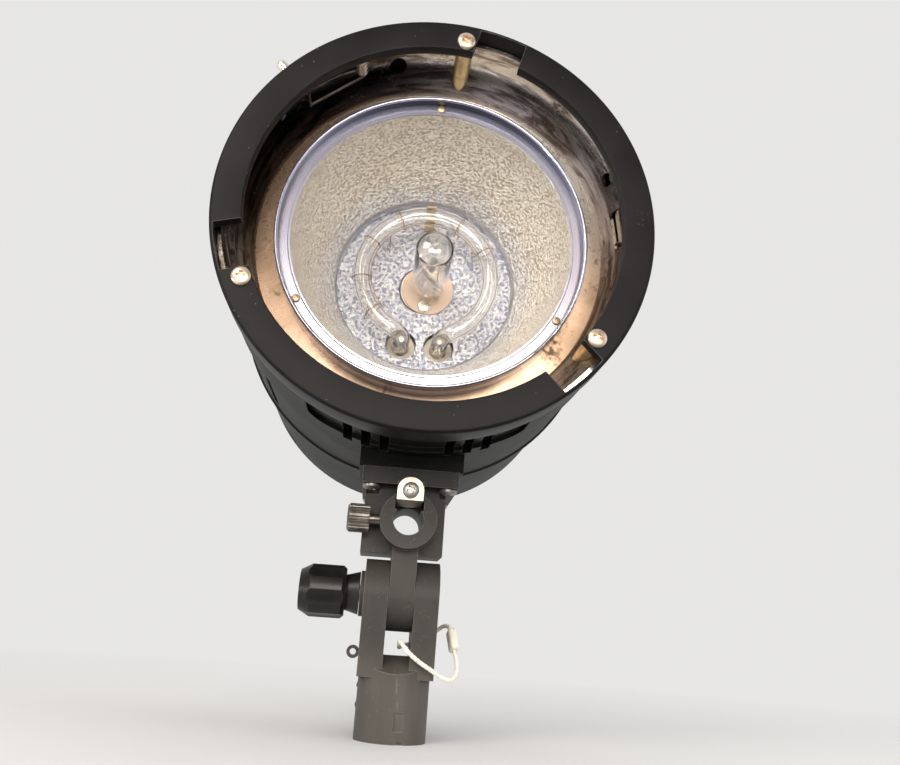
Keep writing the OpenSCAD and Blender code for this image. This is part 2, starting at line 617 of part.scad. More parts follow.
module reflector() color([0.8, 0.77, 0.7]) head() difference() {
    rotate_extrude($fn = 180) bowl_section();
    for (s = [-1, 1]) rotate([0, 0, -90 + s * leg_angle]) translate([leg_circle, 0, 0])
        disc(well_floor - 1, well_floor + 3, leg_hole_r);
    translate(lamp_hole_pos) disc(well_floor - 1, well_floor + 3, lamp_hole_r);
    translate([0, lamp_plate_r + 9, 0]) disc(well_floor - 1, well_floor + 3, 1.2);
    at_lip_screws() disc(ledge_depth - 1, ledge_depth + 3, lip_screw_r + 0.1);
}
module reflector_screws() color([0.86, 0.83, 0.76]) head() spin3(reflector_angle)
    translate([lip_screw_circle, 0, -ledge_depth])
        pan_screw(1.5, 1, lip_screw_r, cup_depth + cup_t + ledge_t - ledge_depth - 0.4);
module flash_tube() color([0.85, 0.9, 0.92, 0.6]) head() {
    translate([0, 0, -flash_depth]) rotate([0, 0, -90 + flash_end])
        rotate_extrude(angle = 360 - 2 * flash_end, $fn = 128)
            translate([flash_ring_r, 0]) circle(r = flash_r, $fn = 48);
    for (s = [-1, 1]) rotate([0, 0, -90 + s * flash_end]) {
        translate([flash_ring_r, 0, -flash_depth - leg_bend]) rotate([0, 90, 0])
            rotate([0, 0, s > 0 ? 177 : 90]) rotate_extrude(angle = 93, $fn = 64)
                translate([leg_bend, 0]) circle(r = flash_r * 0.975, $fn = 48);
        translate([flash_ring_r, -s * leg_bend, 0])
            disc(flash_depth + leg_bend - 0.3, leg_bottom, flash_r * 0.95);
    }
}
module at_legs() for (s = [-1, 1]) rotate([0, 0, -90 + s * leg_angle])
    translate([leg_circle, 0, 0]) children();
module tube_insulators() color([0.88, 0.84, 0.74]) head() at_legs() difference() {
    disc(well_floor + 4, deck_depth, insulator_r);
    disc(well_floor + 3, leg_bottom + 0.4, flash_r + 0.1);
}
wire_r = 0.22;
loop_angles = [28, 62, 118, 152, 188, 220];
module trigger_wire() color([0.75, 0.68, 0.5]) head() translate([0, 0, -flash_depth]) {
    for (a = loop_angles) rotate([0, 0, a]) translate([flash_ring_r, 0, 0]) rotate([90, 0, 0])
        rotate_extrude($fn = 48) translate([flash_r + wire_r + 0.1, 0]) circle(r = wire_r, $fn = 24);
    rotate([0, 0, loop_angles[0] - 2]) rotate_extrude(angle = loop_angles[5] - loop_angles[0] + 4, $fn = 128)
        translate([wire_run_r, 0]) circle(r = wire_r * 0.8, $fn = 24);
    rotate([0, 0, 135]) translate([wire_run_r, 0, flash_depth - well_floor])
        cylinder(h = well_floor - flash_depth, r = wire_r * 0.65, $fn = 24);
}
wire_run_r = flash_ring_r - flash_r - wire_r - 0.06;
module tube_clip() color([0.85, 0.72, 0.4]) head() translate([0, flash_ring_r, 0]) difference() {
    union() {
        translate([-2, 0, -flash_depth]) rotate([0, 90, 0]) difference() {
            cylinder(h = 4, r = flash_r + 0.7);
            translate([0, 0, -1]) cylinder(h = 6, r = flash_r + 0.15);
            translate([-10, -6, -1]) cube([10.7, 8.2, 6]);
        }
        block([-2, 2], [-0.4, 0.4], flash_depth + flash_r + 0.4, well_floor);
    }
}
module at_lamp() translate([lamp_x, lamp_y, 0]) rotate([0, 0, lamp_turn]) children();
// The capsule's low dome and straight wall
module lamp_section() {
    dome_r = (lamp_r * lamp_r + lamp_dome * lamp_dome) / (2 * lamp_dome);
    base = -well_floor + 9;
    polygon(concat([[0, base], [lamp_r, base]],
        [for (i = [8:-1:0]) let(a = asin(lamp_r / dome_r) * i / 8)
            [dome_r * sin(a), dome_r * (cos(a) - 1) - lamp_tip]]));
}
module modelling_lamp() color([0.9, 0.93, 0.95, 0.5]) head() at_lamp() {
    rotate_extrude($fn = 96) lamp_section();
    block([-lamp_r + 0.6, lamp_r - 0.6], [-2.2, 2.2], well_floor - 9.5, well_floor - 3.5);
    for (s = [-1, 1]) translate([s * lamp_pin_gap / 2, 0, 0]) disc(well_floor - 4, well_floor + 8, 0.5);
}
module lamp_plate() color([0.87, 0.83, 0.74]) head() difference() {
    translate([lamp_x, lamp_y, 0]) disc(well_floor - 1, well_floor, lamp_plate_r);
    at_lamp() for (s = [-1, 1]) translate([s * lamp_pin_gap / 2, 0, 0])
        block([-1.3, 1.3], [-0.7, 0.7], well_floor - 2, well_floor + 1);
    translate(lamp_screw_pos) disc(well_floor - 2, well_floor + 1, 1.1);
}
module lamp_plate_screw() color([0.8, 0.79, 0.76]) head()
    translate(lamp_screw_pos) translate([0, 0, -well_floor + 1]) pan_screw(2.8, 1.5, 1, 6);
module lamp_socket() color([0.9, 0.87, 0.8]) head() difference() {
    translate(lamp_hole_pos) disc(well_floor, deck_depth, lamp_socket_r);
    at_lamp() for (s = [-1, 1]) translate([s * lamp_pin_gap / 2, 0, 0])
        disc(well_floor - 1, well_floor + 9, 0.7);
    translate(lamp_screw_pos) disc(well_floor - 1, well_floor + 6, 1.1);
}

// Housing

module cap_section() {
    ledge_in = floor_in_r;
    behind = cup_depth + cup_t;
    polygon([[neck_in, -skirt_len - seat], [neck_r, -skirt_len - seat], [neck_r, -shoulder_depth],
        [shoulder_r - 0.8, -shoulder_depth], [shoulder_r, -shoulder_depth - 0.8], [shoulder_r, -cap_depth],
        [inner_r - 3, -cap_depth], [inner_r - 3, -behind - ledge_t], [ledge_in, -behind - ledge_t],
        [ledge_in, -behind], [neck_in, -behind]]);
}
// Sunk field round the vents, with round corners
module cap_scoop() intersection() {
    pipe(skirt_len - 2, scoop_depth + 2, shoulder_r + 3, neck_r + 0.04);
    translate([0, -body_r / 2, 0]) rotate([90, 0, 0]) linear_extrude(body_r) polygon(concat(
        [[scoop_half, 0]],
        [for (a = [0:15:90]) [scoop_half - scoop_round + scoop_round * cos(a),
            scoop_round - scoop_depth - scoop_round * sin(a)]],
        [for (a = [90:15:180]) [scoop_round - scoop_half + scoop_round * cos(a),
            scoop_round - scoop_depth - scoop_round * sin(a)]],
        [[-scoop_half, 0]]));
}
scoop_depth = cap_depth - 9;
scoop_round = 6;
scoop_half = 38.4;
vent_x = [-24, -17.4, -10.8, 12.4, 19, 25.6];
module front_cap() color([0.07, 0.07, 0.07]) head() difference() {
    rotate_extrude($fn = 180) cap_section();
    cap_scoop();
    for (x = vent_x) block([x - slot_w / 2, x + slot_w / 2], [-body_r - 8, -body_r + 9], 26, cap_depth - 2);
    at_lip_screws() disc(cup_depth - 1, cup_depth + 9, lip_screw_r + 0.1);
    spin3(cup_screw_angle) translate([neck_in - 3, 0, -cup_screw_depth]) rotate([0, 90, 0])
        cylinder(h = neck_r - neck_in + 2.8, r = 1.5, $fn = 32);
    block([-plate_w / 2 - 1, plate_w / 2 + 1], [-pad_drop - 1, -shoulder_r + 0.3],
        min(plate_front, cap_depth) - 1, cap_depth + 1);
}
module shell_outer() {
    polygon([[0, -cap_depth], [body_r, -cap_depth], [body_r, -bead_depth + 2],
        [body_r + 0.8, -bead_depth + 1], [body_r + 0.8, -bead_depth - 1],
        [body_r - 0.8, -bead_depth - 2.2], [body_r - 0.8, -tail_depth],
        [tail_r, -shell_depth], [0, -shell_depth]]);
}
module shell_inner() {
    polygon([[0, -cap_depth + 1], [inner_r, -cap_depth + 1], [inner_r, -bead_depth - 1],
        [inner_r - 0.8, -bead_depth - 3], [inner_r - 0.8, -tail_depth], [tail_r - shell_t, -shell_depth],
        [tail_r - shell_t, -shell_depth - 1], [0, -shell_depth - 1]]);
}
module shell_wall() rotate_extrude($fn = 180) difference() {
    shell_outer();
    shell_inner();
}
boss_x = inner_r - 14.5;
boss_depths = [bead_depth + 18, tail_depth - 12];
pillar_r = 4;
pillar_circle = plug_r - 6.4;
pillar_start = shell_depth - 24;
pillar_angles = [40, 140, 220, 320];
module half(sign) translate([0, sign * 100, 0]) cube([400, 200, 600], center = true);
// Pillars for the back panel's screws, each on a rib from the wall
module panel_pillars() intersection() {
    rotate_extrude($fn = 180) shell_outer();
    for (a = pillar_angles) rotate([0, 0, a]) {
        translate([pillar_circle, 0, 0]) disc(pillar_start, shell_depth - 5, pillar_r);
        block([pillar_circle, body_r], [-1.2, 1.2], pillar_start, shell_depth - 5);
    }
}
// Slots low and high on each side of the shells
module side_vents(sign) for (s = [-1, 1], i = [0:3])
    rotate([0, 0, sign * (s > 0 ? 14 + 9 * i : 166 - 9 * i)])
        block([inner_r - 3, body_r + 3], [-slot_w / 2, slot_w / 2], 52, 90);
module upper_shell() color([0.08, 0.08, 0.08]) head() difference() {
    union() {
        intersection() {
            shell_wall();
            half(1);
        }
        intersection() {
            panel_pillars();
            half(1);
        }
        intersection() {
            rotate_extrude($fn = 180) shell_outer();
            for (s = [-1, 1], d = boss_depths) translate([s * boss_x, 0, -d]) rotate([-90, 0, 0])
                cylinder(h = 60, r = 4.5);
        }
    }
    side_vents(1);
    for (s = [-1, 1], d = boss_depths) translate([s * boss_x, -1, -d]) rotate([-90, 0, 0])
        cylinder(h = 14, r = 1.5, $fn = 32);
    pillar_holes();
}
module pillar_holes() for (a = pillar_angles) rotate([0, 0, a])
    translate([pillar_circle, 0, 0]) disc(pillar_start + 4, shell_depth, 1.5);
module lower_shell() color([0.08, 0.08, 0.08]) head() difference() {
    union() {
        intersection() {
            shell_wall();
            half(-1);
        }
        intersection() {
            panel_pillars();
            half(-1);
        }
        difference() {
            block([-pad_w / 2, pad_w / 2], [-pad_drop, -body_r + 8], cap_depth, plate_front + plate_len + 1);
            disc(cap_depth - 1, plate_front + plate_len + 3, inner_r);
        }
        intersection() {
            rotate_extrude($fn = 180) shell_outer();
            union() {
                for (s = [-1, 1], d = boss_depths) translate([s * boss_x, -60, -d]) rotate([-90, 0, 0])
                    cylinder(h = 60, r = 4.5);
                for (s = [-1, 1], d = [deck_depth + 16, board_end - 8])
                    translate([s * (board_half - 8), -inner_r, -d]) rotate([-90, 0, 0])
                        cylinder(h = inner_r + board_y, r = 3.2);
                for (x = [-1, 1])
                    translate([x * (plate_w / 2 - 3.6), -inner_r - 1, -plate_front - plate_len + 5])
                        rotate([-90, 0, 0]) cylinder(h = 8, r = 4);
            }
        }
    }
    side_vents(-1);
    for (s = [-1, 1], d = boss_depths) translate([s * boss_x, 5 - body_r, -d]) rotate([-90, 0, 0]) {
        cylinder(h = body_r - 4, r = 1.7, $fn = 32);
        cylinder(h = 38, r = 3.6, $fn = 32);
    }
    for (x = [-1, 1], d = [plate_front + 4, plate_front + plate_len - 5])
        translate([x * (plate_w / 2 - 3.6), -pad_drop - 1, -d]) rotate([-90, 0, 0])
            cylinder(h = 12, r = 1.8, $fn = 32);
    pillar_holes();
}
module shell_screws() color([0.2, 0.2, 0.2]) head()
    for (s = [-1, 1], d = boss_depths) translate([s * boss_x, 43 - body_r, -d]) rotate([90, 0, 0])
        pan_screw(3, 2, 1.4, 42);

// Inside

module lamp_deck() color([0.7, 0.7, 0.7]) head() difference() {
    disc(deck_depth, deck_depth + deck_t, inner_r - seat);
    for (a = [0:60:300]) rotate([0, 0, a + 30]) translate([inner_r - 20.5, 0, 0])
        disc(deck_depth - 1, deck_depth + 3, 8);
    for (x = [-1, 1]) translate([x * (plate_w / 2 - 3.6), 0, 0])
        block([-4.4, 4.4], [-body_r, -inner_r + 7.4], deck_depth - 1, deck_depth + 3);
}
module main_board() color([0.1, 0.35, 0.2]) head()
    block([-board_half, board_half], [board_y, board_y + 1.6], deck_depth + deck_t + seat, board_end);
module capacitors() color([0.15, 0.2, 0.35]) head() for (s = [-1, 1])
    translate([s * (cap_can_r + 2), board_y + 1.6 + cap_can_r, 0])
        disc(deck_depth + 8, deck_depth + 8 + cap_can_len, cap_can_r);
module trigger_coil() color([0.3, 0.2, 0.15]) head() translate([0, 34, 0]) difference() {
    union() {
        disc(deck_depth + deck_t, deck_depth + deck_t + 22, 8);
        disc(deck_depth + deck_t, deck_depth + deck_t + 2, 11);
        disc(deck_depth + deck_t + 20, deck_depth + deck_t + 22, 11);
    }
    disc(deck_depth + deck_t + 1, deck_depth + deck_t + 23, 3);
}
module control_board() color([0.1, 0.35, 0.2]) head() difference() {
    block([-dial_x - 12, dial_x + 12], [-13, 14], control_depth - 1.6, control_depth);
    for (p = [test_pos, cell_button_pos]) translate([p[0], p[1], 0])
        disc(control_depth - 3, control_depth + 1, 1);
}

// Back panel and its fittings

module rocker_window(grow) translate([switch_pos[0], switch_pos[1], 0])
    block([-6.4 - grow, 6.4 + grow], [-9.4 - grow, 9.4 + grow], shell_depth - 20, panel_back + 3);
module back_panel() color([0.09, 0.09, 0.09]) head() difference() {
    union() {
        disc(shell_depth, panel_back - 1, tail_r);
        translate([0, 0, -panel_back]) cylinder(h = 1 + eps, r1 = tail_r - 1, r2 = tail_r);
        pipe(shell_depth - 4, shell_depth + eps, plug_r, plug_r - 1.6);
    }
    translate([0, fan_y, 0]) difference() {
        union() {
            for (r = [5:4:fan_hole_r - 2]) pipe(shell_depth - 1, panel_back + 1, r + 2.6, r);
        }
        for (a = [45, 135]) rotate([0, 0, a]) block([-30, 30], [-1.3, 1.3], shell_depth - 2, panel_back + 2);
    }
    for (s = [-1, 1]) translate([s * dial_x, 0, 0]) disc(shell_depth - 1, panel_back + 1, shaft_r + 0.8);
    for (p = [test_pos, cell_button_pos]) translate([p[0], p[1], 0])
        disc(shell_depth - 1, panel_back + 1, button_r + 0.08);
    translate([ready_pos[0], ready_pos[1], 0]) disc(shell_depth - 1, panel_back + 1, 1.55);
    translate([jack_pos[0], jack_pos[1], 0]) disc(shell_depth - 1, panel_back + 1, 5.05);
    translate([cell_pos[0], cell_pos[1], 0]) disc(shell_depth - 1, panel_back + 1, 6.05);
    translate([fuse_pos[0], fuse_pos[1], 0]) disc(shell_depth - 1, panel_back + 1, 6.55);
    rocker_window(0.05);
    block([-14.05, 14.05], [inlet_y - 10.05, inlet_y + 10.05], shell_depth - 1, panel_back + 1);
    for (a = pillar_angles) rotate([0, 0, a]) translate([pillar_circle, 0, 0])
        disc(shell_depth - 1, panel_back + 1, 1.7);
}
module panel_screws() color([0.7, 0.7, 0.68]) head() for (a = pillar_angles) rotate([0, 0, a])
    translate([pillar_circle, 0, -panel_back]) rotate([180, 0, 0]) pan_screw(2.8, 1.8, 1.4, panel_t + 16);
module fan_frame() color([0.1, 0.1, 0.1]) head() translate([0, fan_y, 0]) {
    half_fan = fan_size / 2;
    difference() {
        block([-half_fan, half_fan], [-half_fan, half_fan], shell_depth - fan_t, shell_depth);
        disc(shell_depth - fan_t - 1, shell_depth + 1, fan_hole_r);
    }
    difference() {
        union() {
            disc(shell_depth - fan_t, shell_depth - fan_t + 1.4, 8);
            for (a = [30, 150, 270]) rotate([0, 0, a])
                block([0, fan_hole_r + 0.5], [-1.2, 1.2], shell_depth - fan_t, shell_depth - fan_t + 1.4);
        }
    }
    disc(shell_depth - fan_t, shell_depth - 2, 1.5);
}
module fan_rotor() color([0.14, 0.14, 0.14]) head() translate([0, fan_y, 0]) {
    pipe(shell_depth - fan_t + 1.8, shell_depth - 1.6, fan_hole_r * 0.45, 1.55);
    for (a = [0:360 / 7:359]) rotate([0, 0, a]) translate([fan_hole_r * 0.43, 0, -shell_depth + 4.9])
        rotate([52, 0, 0]) translate([0, -4, -0.5]) cube([fan_hole_r * 0.53, 8, 1]);
}
// The rocker is drawn with its lower end pressed in
rocker_rest = 8;
rocker_r = 11;
module power_switch() color([0.75, 0.1, 0.08]) head()
    translate([switch_pos[0], switch_pos[1], -shell_depth + 4]) rotate([-rocker_rest, 0, 0])
        intersection() {
            difference() {
                translate([-5.2, 0, 0]) rotate([0, 90, 0]) cylinder(h = 10.4, r = rocker_r);
                translate([-6, 0, 0]) rotate([0, 90, 0]) cylinder(h = 12, r = 1.55, $fn = 32);
                translate([-10, 0, -rocker_r - 8.4]) rotate([0, 90, 0]) cylinder(h = 20, r = 11.4);
            }
            translate([-6, -7.3, -20]) cube([12, 14.6, 22]);
        }
module switch_frame() color([0.06, 0.06, 0.06]) head() {
    difference() {
        union() {
            rocker_window(-0.1);
            translate([switch_pos[0], switch_pos[1], 0])
                block([-7.6, 7.6], [-10.8, 10.8], panel_back, panel_back + 1.2);
        }
        translate([switch_pos[0], switch_pos[1], 0])
            block([-5.5, 5.5], [-8.6, 8.6], shell_depth - 16, panel_back + 4);
        rocker_window_trim();
    }
    translate([switch_pos[0] - 6, switch_pos[1], -shell_depth + 4]) rotate([0, 90, 0])
        cylinder(h = 12, r = 1.5, $fn = 32);
}
module rocker_window_trim() translate([switch_pos[0], switch_pos[1], 0])
    block([-20, 20], [-20, 20], panel_back + 1.2, panel_back + 9);
module mains_inlet() color([0.07, 0.07, 0.07]) head() difference() {
    union() {
        block([-14, 14], [inlet_y - 10, inlet_y + 10], shell_depth - inlet_len, panel_back);
        block([-16, 16], [inlet_y - 12, inlet_y + 12], panel_back, panel_back + 2);
    }
    block([-12.1, 12.1], [inlet_y - 8.1, inlet_y + 8.1], panel_back - 16, panel_back + 3);
}
module inlet_pins() color([0.8, 0.78, 0.7]) head() {
    for (x = [-7, 7]) block([x - 1, x + 1], [inlet_y - 3.5, inlet_y + 0.5], panel_back - 16, panel_back - 3);
    block([-1, 1], [inlet_y + 1, inlet_y + 5], panel_back - 16, panel_back - 2);
}
module fuse_holder() color([0.06, 0.06, 0.06]) head() translate([fuse_pos[0], fuse_pos[1], 0]) difference() {
    union() {
        disc(shell_depth - 22, panel_back, 6.5);
        disc(panel_back, panel_back + 1.4, 8);
    }
    disc(shell_depth - 14, panel_back + 3, 5.4);
}
module fuse_cap() color([0.1, 0.1, 0.1]) head() translate([fuse_pos[0], fuse_pos[1], 0]) difference() {
    union() {
        disc(shell_depth - 10, panel_back + 2, 5.3);
        disc(panel_back + 1.6, panel_back + 5, 6.2);
    }
    block([-4.6, 4.6], [-0.7, 0.7], panel_back + 3.6, panel_back + 7);
}
module sync_jack() color([0.75, 0.73, 0.68]) head() translate([jack_pos[0], jack_pos[1], 0]) difference() {
    union() {
        disc(shell_depth - 14, panel_back + 1, 5);
        translate([0, 0, -panel_back - 2.4]) cylinder(h = 2.4, r = 6.6, $fn = 6);
    }
    disc(shell_depth - 11, panel_back + 4, jack_r);
}
module dial(pos_x) head() translate([pos_x, 0, 0]) difference() {
    union() {
        disc(control_depth + 2.2, panel_back + 4, shaft_r);
        disc(panel_back + dial_lift, panel_back + 12, dial_r - 1.2);
        translate([0, 0, -panel_back - 4]) cylinder(h = 4 - dial_lift, r = dial_r);
    }
    for (a = [0:20:340]) rotate([0, 0, a]) translate([dial_r - 0.5, 0, 0])
        disc(panel_back + 3.2, panel_back + 13, 0.9);
    block([-0.6, 0.6], [dial_r * 0.3, dial_r], panel_back + 11.3, panel_back + 13);
}
module flash_dial() color([0.12, 0.12, 0.12]) dial(-dial_x);
module lamp_dial() color([0.12, 0.12, 0.12]) dial(dial_x);
module dial_pots() color([0.5, 0.5, 0.5]) head() for (s = [-1, 1])
    translate([s * dial_x, 0, 0]) difference() {
        disc(control_depth, shell_depth, 8);
        disc(control_depth + 1.8, shell_depth + 1, shaft_r + 0.06);
    }
module push_button(p) head() translate([p[0], p[1], 0]) {
    disc(control_depth + 5.2, panel_back + 2.6, button_r);
    disc(control_depth + 5.2, shell_depth - 2.4, button_r + 1.2);
    disc(control_depth + button_travel + 0.4, control_depth + 6, 1.6);
}
module test_button() color([0.75, 0.15, 0.1]) push_button(test_pos);
module cell_button() color([0.6, 0.6, 0.6]) push_button(cell_button_pos);
module slave_cell() color([0.6, 0.1, 0.1, 0.7]) head() translate([cell_pos[0], cell_pos[1], 0]) {
    disc(shell_depth - 6, panel_back, 6);
    translate([0, 0, -panel_back]) intersection() {
        sphere(r = 6, $fn = 64);
        translate([-7, -7, -7]) cube([14, 14, 7]);
    }
}
module ready_light() color([0.2, 0.7, 0.2]) head() translate([ready_pos[0], ready_pos[1], 0]) {
    disc(control_depth, panel_back, 1.5);
    translate([0, 0, -panel_back]) sphere(r = 1.5, $fn = 32);
}

stand_fork();
hinge_bolt();
tag_string();
tag_seal();
stand_lock_screw();
stand_lock_knob();
tilt_knob();
knob_insert();
tilt_bracket();
bracket_screws();
umbrella_clip();
umbrella_clip_screw();
umbrella_thumbscrew();
front_ring();
ring_skirt();
ring_screws();
ring_posts();
mount_cup();
cup_screws();
release_pin();
spring_post();
lock_spring();
rattle_spring();
reflector();
reflector_screws();
flash_tube();
tube_insulators();
trigger_wire();
tube_clip();
modelling_lamp();
lamp_plate();
lamp_plate_screw();
lamp_socket();
front_cap();
lower_shell();
upper_shell();
shell_screws();
lamp_deck();
main_board();
capacitors();
trigger_coil();
control_board();
back_panel();
panel_screws();
fan_frame();
fan_rotor();
power_switch();
switch_frame();
mains_inlet();
inlet_pins();
fuse_holder();
fuse_cap();
sync_jack();
flash_dial();
lamp_dial();
dial_pots();
test_button();
cell_button();
slave_cell();
ready_light();
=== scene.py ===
import json
import math

import bmesh
import bpy
from mathutils import Matrix, Vector


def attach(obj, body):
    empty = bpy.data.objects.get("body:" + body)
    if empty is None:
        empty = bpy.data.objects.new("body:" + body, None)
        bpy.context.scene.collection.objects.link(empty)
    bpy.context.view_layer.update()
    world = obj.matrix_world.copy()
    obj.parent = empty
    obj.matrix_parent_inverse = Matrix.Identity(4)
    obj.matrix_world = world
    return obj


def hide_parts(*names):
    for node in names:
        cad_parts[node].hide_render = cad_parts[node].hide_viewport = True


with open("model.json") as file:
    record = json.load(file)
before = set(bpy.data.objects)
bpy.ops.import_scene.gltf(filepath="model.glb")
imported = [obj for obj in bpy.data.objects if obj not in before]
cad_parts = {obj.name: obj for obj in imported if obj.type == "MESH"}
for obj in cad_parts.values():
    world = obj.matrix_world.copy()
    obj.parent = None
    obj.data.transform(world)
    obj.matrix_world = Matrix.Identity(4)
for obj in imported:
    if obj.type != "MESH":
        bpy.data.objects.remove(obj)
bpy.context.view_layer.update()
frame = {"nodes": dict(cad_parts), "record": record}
nodes = frame["nodes"]
mm = 0.001
# In millimetres: how far the ring's face is before the origin, and the lamp's axis above it
ringFront, headAxis = 55, 174

print("camera")

camera = {
    "place": (-11.16, -337.38, 37.67),
    "ahead": (0.0672, 0.9620, 0.2645),
    "up": (-0.0890, -0.2583, 0.9620),
    "lens": 36.33,
}


def linked(name, data):
    made = bpy.data.objects.new(name, data)
    bpy.context.scene.collection.objects.link(made)
    return made


def addCamera():
    data = bpy.data.cameras.new("camera")
    data.lens = camera["lens"]
    data.sensor_width = 36
    data.clip_start = 0.01
    data.clip_end = 20
    made = linked("camera", data)
    ahead = Vector(camera["ahead"]).normalized()
    right = ahead.cross(Vector(camera["up"])).normalized()
    up = right.cross(ahead)
    turn = Matrix((right, up, -ahead)).transposed().to_4x4()
    made.matrix_world = Matrix.Translation(Vector(camera["place"]) * mm) @ turn
    bpy.context.scene.camera = made


addCamera()


# Shader maths


class Val:  # one socket, so that sums on values read as Python
    def __init__(self, finish, socket):
        self.finish, self.socket = finish, socket

    def op(self, kind, *rest, first=None):
        a = self if first is None else first
        b = rest if first is None else (self,)
        settings = {"operation": kind}
        return self.finish.node("ShaderNodeMath", settings, dict(enumerate((a, *b))))

    def __add__(self, other):
        return self.op("ADD", other)

    def __radd__(self, other):
        return self.op("ADD", first=other)

    def __sub__(self, other):
        return self.op("SUBTRACT", other)

    def __rsub__(self, other):
        return self.op("SUBTRACT", first=other)

    def __mul__(self, other):
        return self.op("MULTIPLY", other)

    def __rmul__(self, other):
        return self.op("MULTIPLY", first=other)

    def __truediv__(self, other):
        return self.op("DIVIDE", other)

    def __rtruediv__(self, other):
        return self.op("DIVIDE", first=other)

    def __pow__(self, other):
        return self.op("POWER", other)

    def __lt__(self, other):
        return self.op("LESS_THAN", other)

    def abs(self):
        return self.op("ABSOLUTE")

    def least(self, other):
        return self.op("MINIMUM", other)

    def most(self, other):
        return self.op("MAXIMUM", other)

    def ramp(self, low, high, outLow=0.0, outHigh=1.0):  # clamped and eased
        settings = {"interpolation_type": "SMOOTHSTEP"}
        values = {0: self, 1: low, 2: high, 3: outLow, 4: outHigh}
        return self.finish.node("ShaderNodeMapRange", settings, values)


class Finish:  # one material or the world, and one method that makes its nodes
    def __init__(self, name, world=False, **fixed):
        store = bpy.data.worlds if world else bpy.data.materials
        self.data = store.new(name)
        self.data.use_nodes = True
        self.tree = self.data.node_tree
        self.shader = self.tree.nodes["Background" if world else "Principled BSDF"]
        for key, value in fixed.items():
            self.put(key, value)

    def node(self, kind, settings=None, values=None, out=0):
        made = self.tree.nodes.new(kind)
        for key, value in (settings or {}).items():
            setattr(made, key, value)
        for key, value in (values or {}).items():
            self.join(made.inputs[key], value)
        return Val(self, made.outputs[out])

    def join(self, socket, value):
        if isinstance(value, Val):
            self.tree.links.new(value.socket, socket)
        elif isinstance(value, (tuple, list)) and socket.type == "RGBA":
            socket.default_value = (*value, 1)[:4]
        else:
            socket.default_value = value

    def put(self, key, value):
        self.join(self.shader.inputs[key.replace("_", " ")], value)

    def here(self):
        return self.node("ShaderNodeTexCoord", out="Object")

    def parts(self, where=None):
        made = self.node("ShaderNodeSeparateXYZ", values={0: where or self.here()})
        sockets = made.socket.node.outputs
        return [Val(self, s) for s in sockets]

    def headParts(self):  # metres right of the lamp's axis, above it, and behind the ring's face
        x, y, z = self.parts()
        return x, z - headAxis * mm, y + ringFront * mm

    def scaled(self, sizes):
        values = {0: self.here(), 1: sizes}
        return self.node("ShaderNodeVectorMath", {"operation": "MULTIPLY"}, values)

    def noise(self, scale, detail=3.0, rough=0.55, where=None, swirl=0.0):
        values = {"Vector": where or self.here(), "Scale": scale, "Detail": detail}
        values |= {"Roughness": rough, "Distortion": swirl}
        return self.node("ShaderNodeTexNoise", None, values, "Fac")

    def cells(self, scale):
        values = {"Vector": self.here(), "Scale": scale}
        return self.node("ShaderNodeTexVoronoi", None, values, "Distance")

    def mix(self, share, a, b):
        made = self.node("ShaderNodeMix", {"data_type": "RGBA"})
        inner = made.socket.node
        self.join(inner.inputs[0], share)
        self.join(inner.inputs[6], a)
        self.join(inner.inputs[7], b)
        return Val(self, inner.outputs[2])

    def edges(self, radius):  # rounds sharp edges in the shading
        values = {"Radius": radius * mm}
        return self.node("ShaderNodeBevel", {"samples": 4}, values)

    def rim(self, soft):  # 1 along sharp edges, 0 on flats
        flat = self.node("ShaderNodeNewGeometry", out="Normal")
        settings = {"operation": "DOT_PRODUCT"}
        along = self.node("ShaderNodeVectorMath", settings, {0: soft, 1: flat}, "Value")
        return (1 - along).ramp(0.01, 0.16)

    def bump(self, height, distance, under=None):
        values = {"Height": height, "Distance": distance * mm, "Strength": 1.0}
        if under is not None:
            values["Normal"] = under
        return self.node("ShaderNodeBump", None, values)


# Mesh helpers, all in millimetres until a piece is finished


def rawMesh(name, verts, faces):
    mesh = bpy.data.meshes.new(name)
    mesh.from_pydata([tuple(v) for v in verts], [], faces)
    mesh.update()
    return mesh


def lathe(profile, turns, closed=True):  # a profile of (radius, height) turned about Z
    verts, faces = [], []
    count = len(profile)
    for k in range(turns):
        a = 2 * math.pi * k / turns
        verts += [(r * math.cos(a), r * math.sin(a), h) for r, h in profile]
    for k in range(turns):
        here, there = k * count, (k + 1) % turns * count
        for i in range(count if closed else count - 1):
            j = (i + 1) % count
            faces.append((here + i, there + i, there + j, here + j))
    return verts, faces


def tidied(mesh):  # joins doubled points and turns all faces outwards
    bm = bmesh.new()
    bm.from_mesh(mesh)
    bmesh.ops.remove_doubles(bm, verts=bm.verts, dist=1e-4)
    bmesh.ops.dissolve_degenerate(bm, edges=bm.edges, dist=1e-5)
    bmesh.ops.recalc_face_normals(bm, faces=bm.faces)
    bm.to_mesh(mesh)
    bm.free()
    return mesh


def carved(mesh, cutters):  # cuts meshes out of a mesh
    holder = linked("holder", mesh)
    tools = [linked("cutter", cutter) for cutter in cutters]
    for tool in tools:
        cut = holder.modifiers.new("cut", "BOOLEAN")
        cut.operation, cut.solver, cut.object = "DIFFERENCE", "EXACT", tool
    graph = bpy.context.evaluated_depsgraph_get()
    made = bpy.data.meshes.new_from_object(holder.evaluated_get(graph))
    for thing in (holder, *tools):
        bpy.data.objects.remove(thing)
    return made


def prism(points, low, high):  # a flat outline raised along Z
    count = len(points)
    verts = [(x, y, low) for x, y in points] + [(x, y, high) for x, y in points]
    faces = [tuple(range(count - 1, -1, -1)), tuple(range(count, 2 * count))]
    faces += [(i, (i + 1) % count, (i + 1) % count + count, i + count) for i in range(count)]
    return tidied(rawMesh("prism", verts, faces))


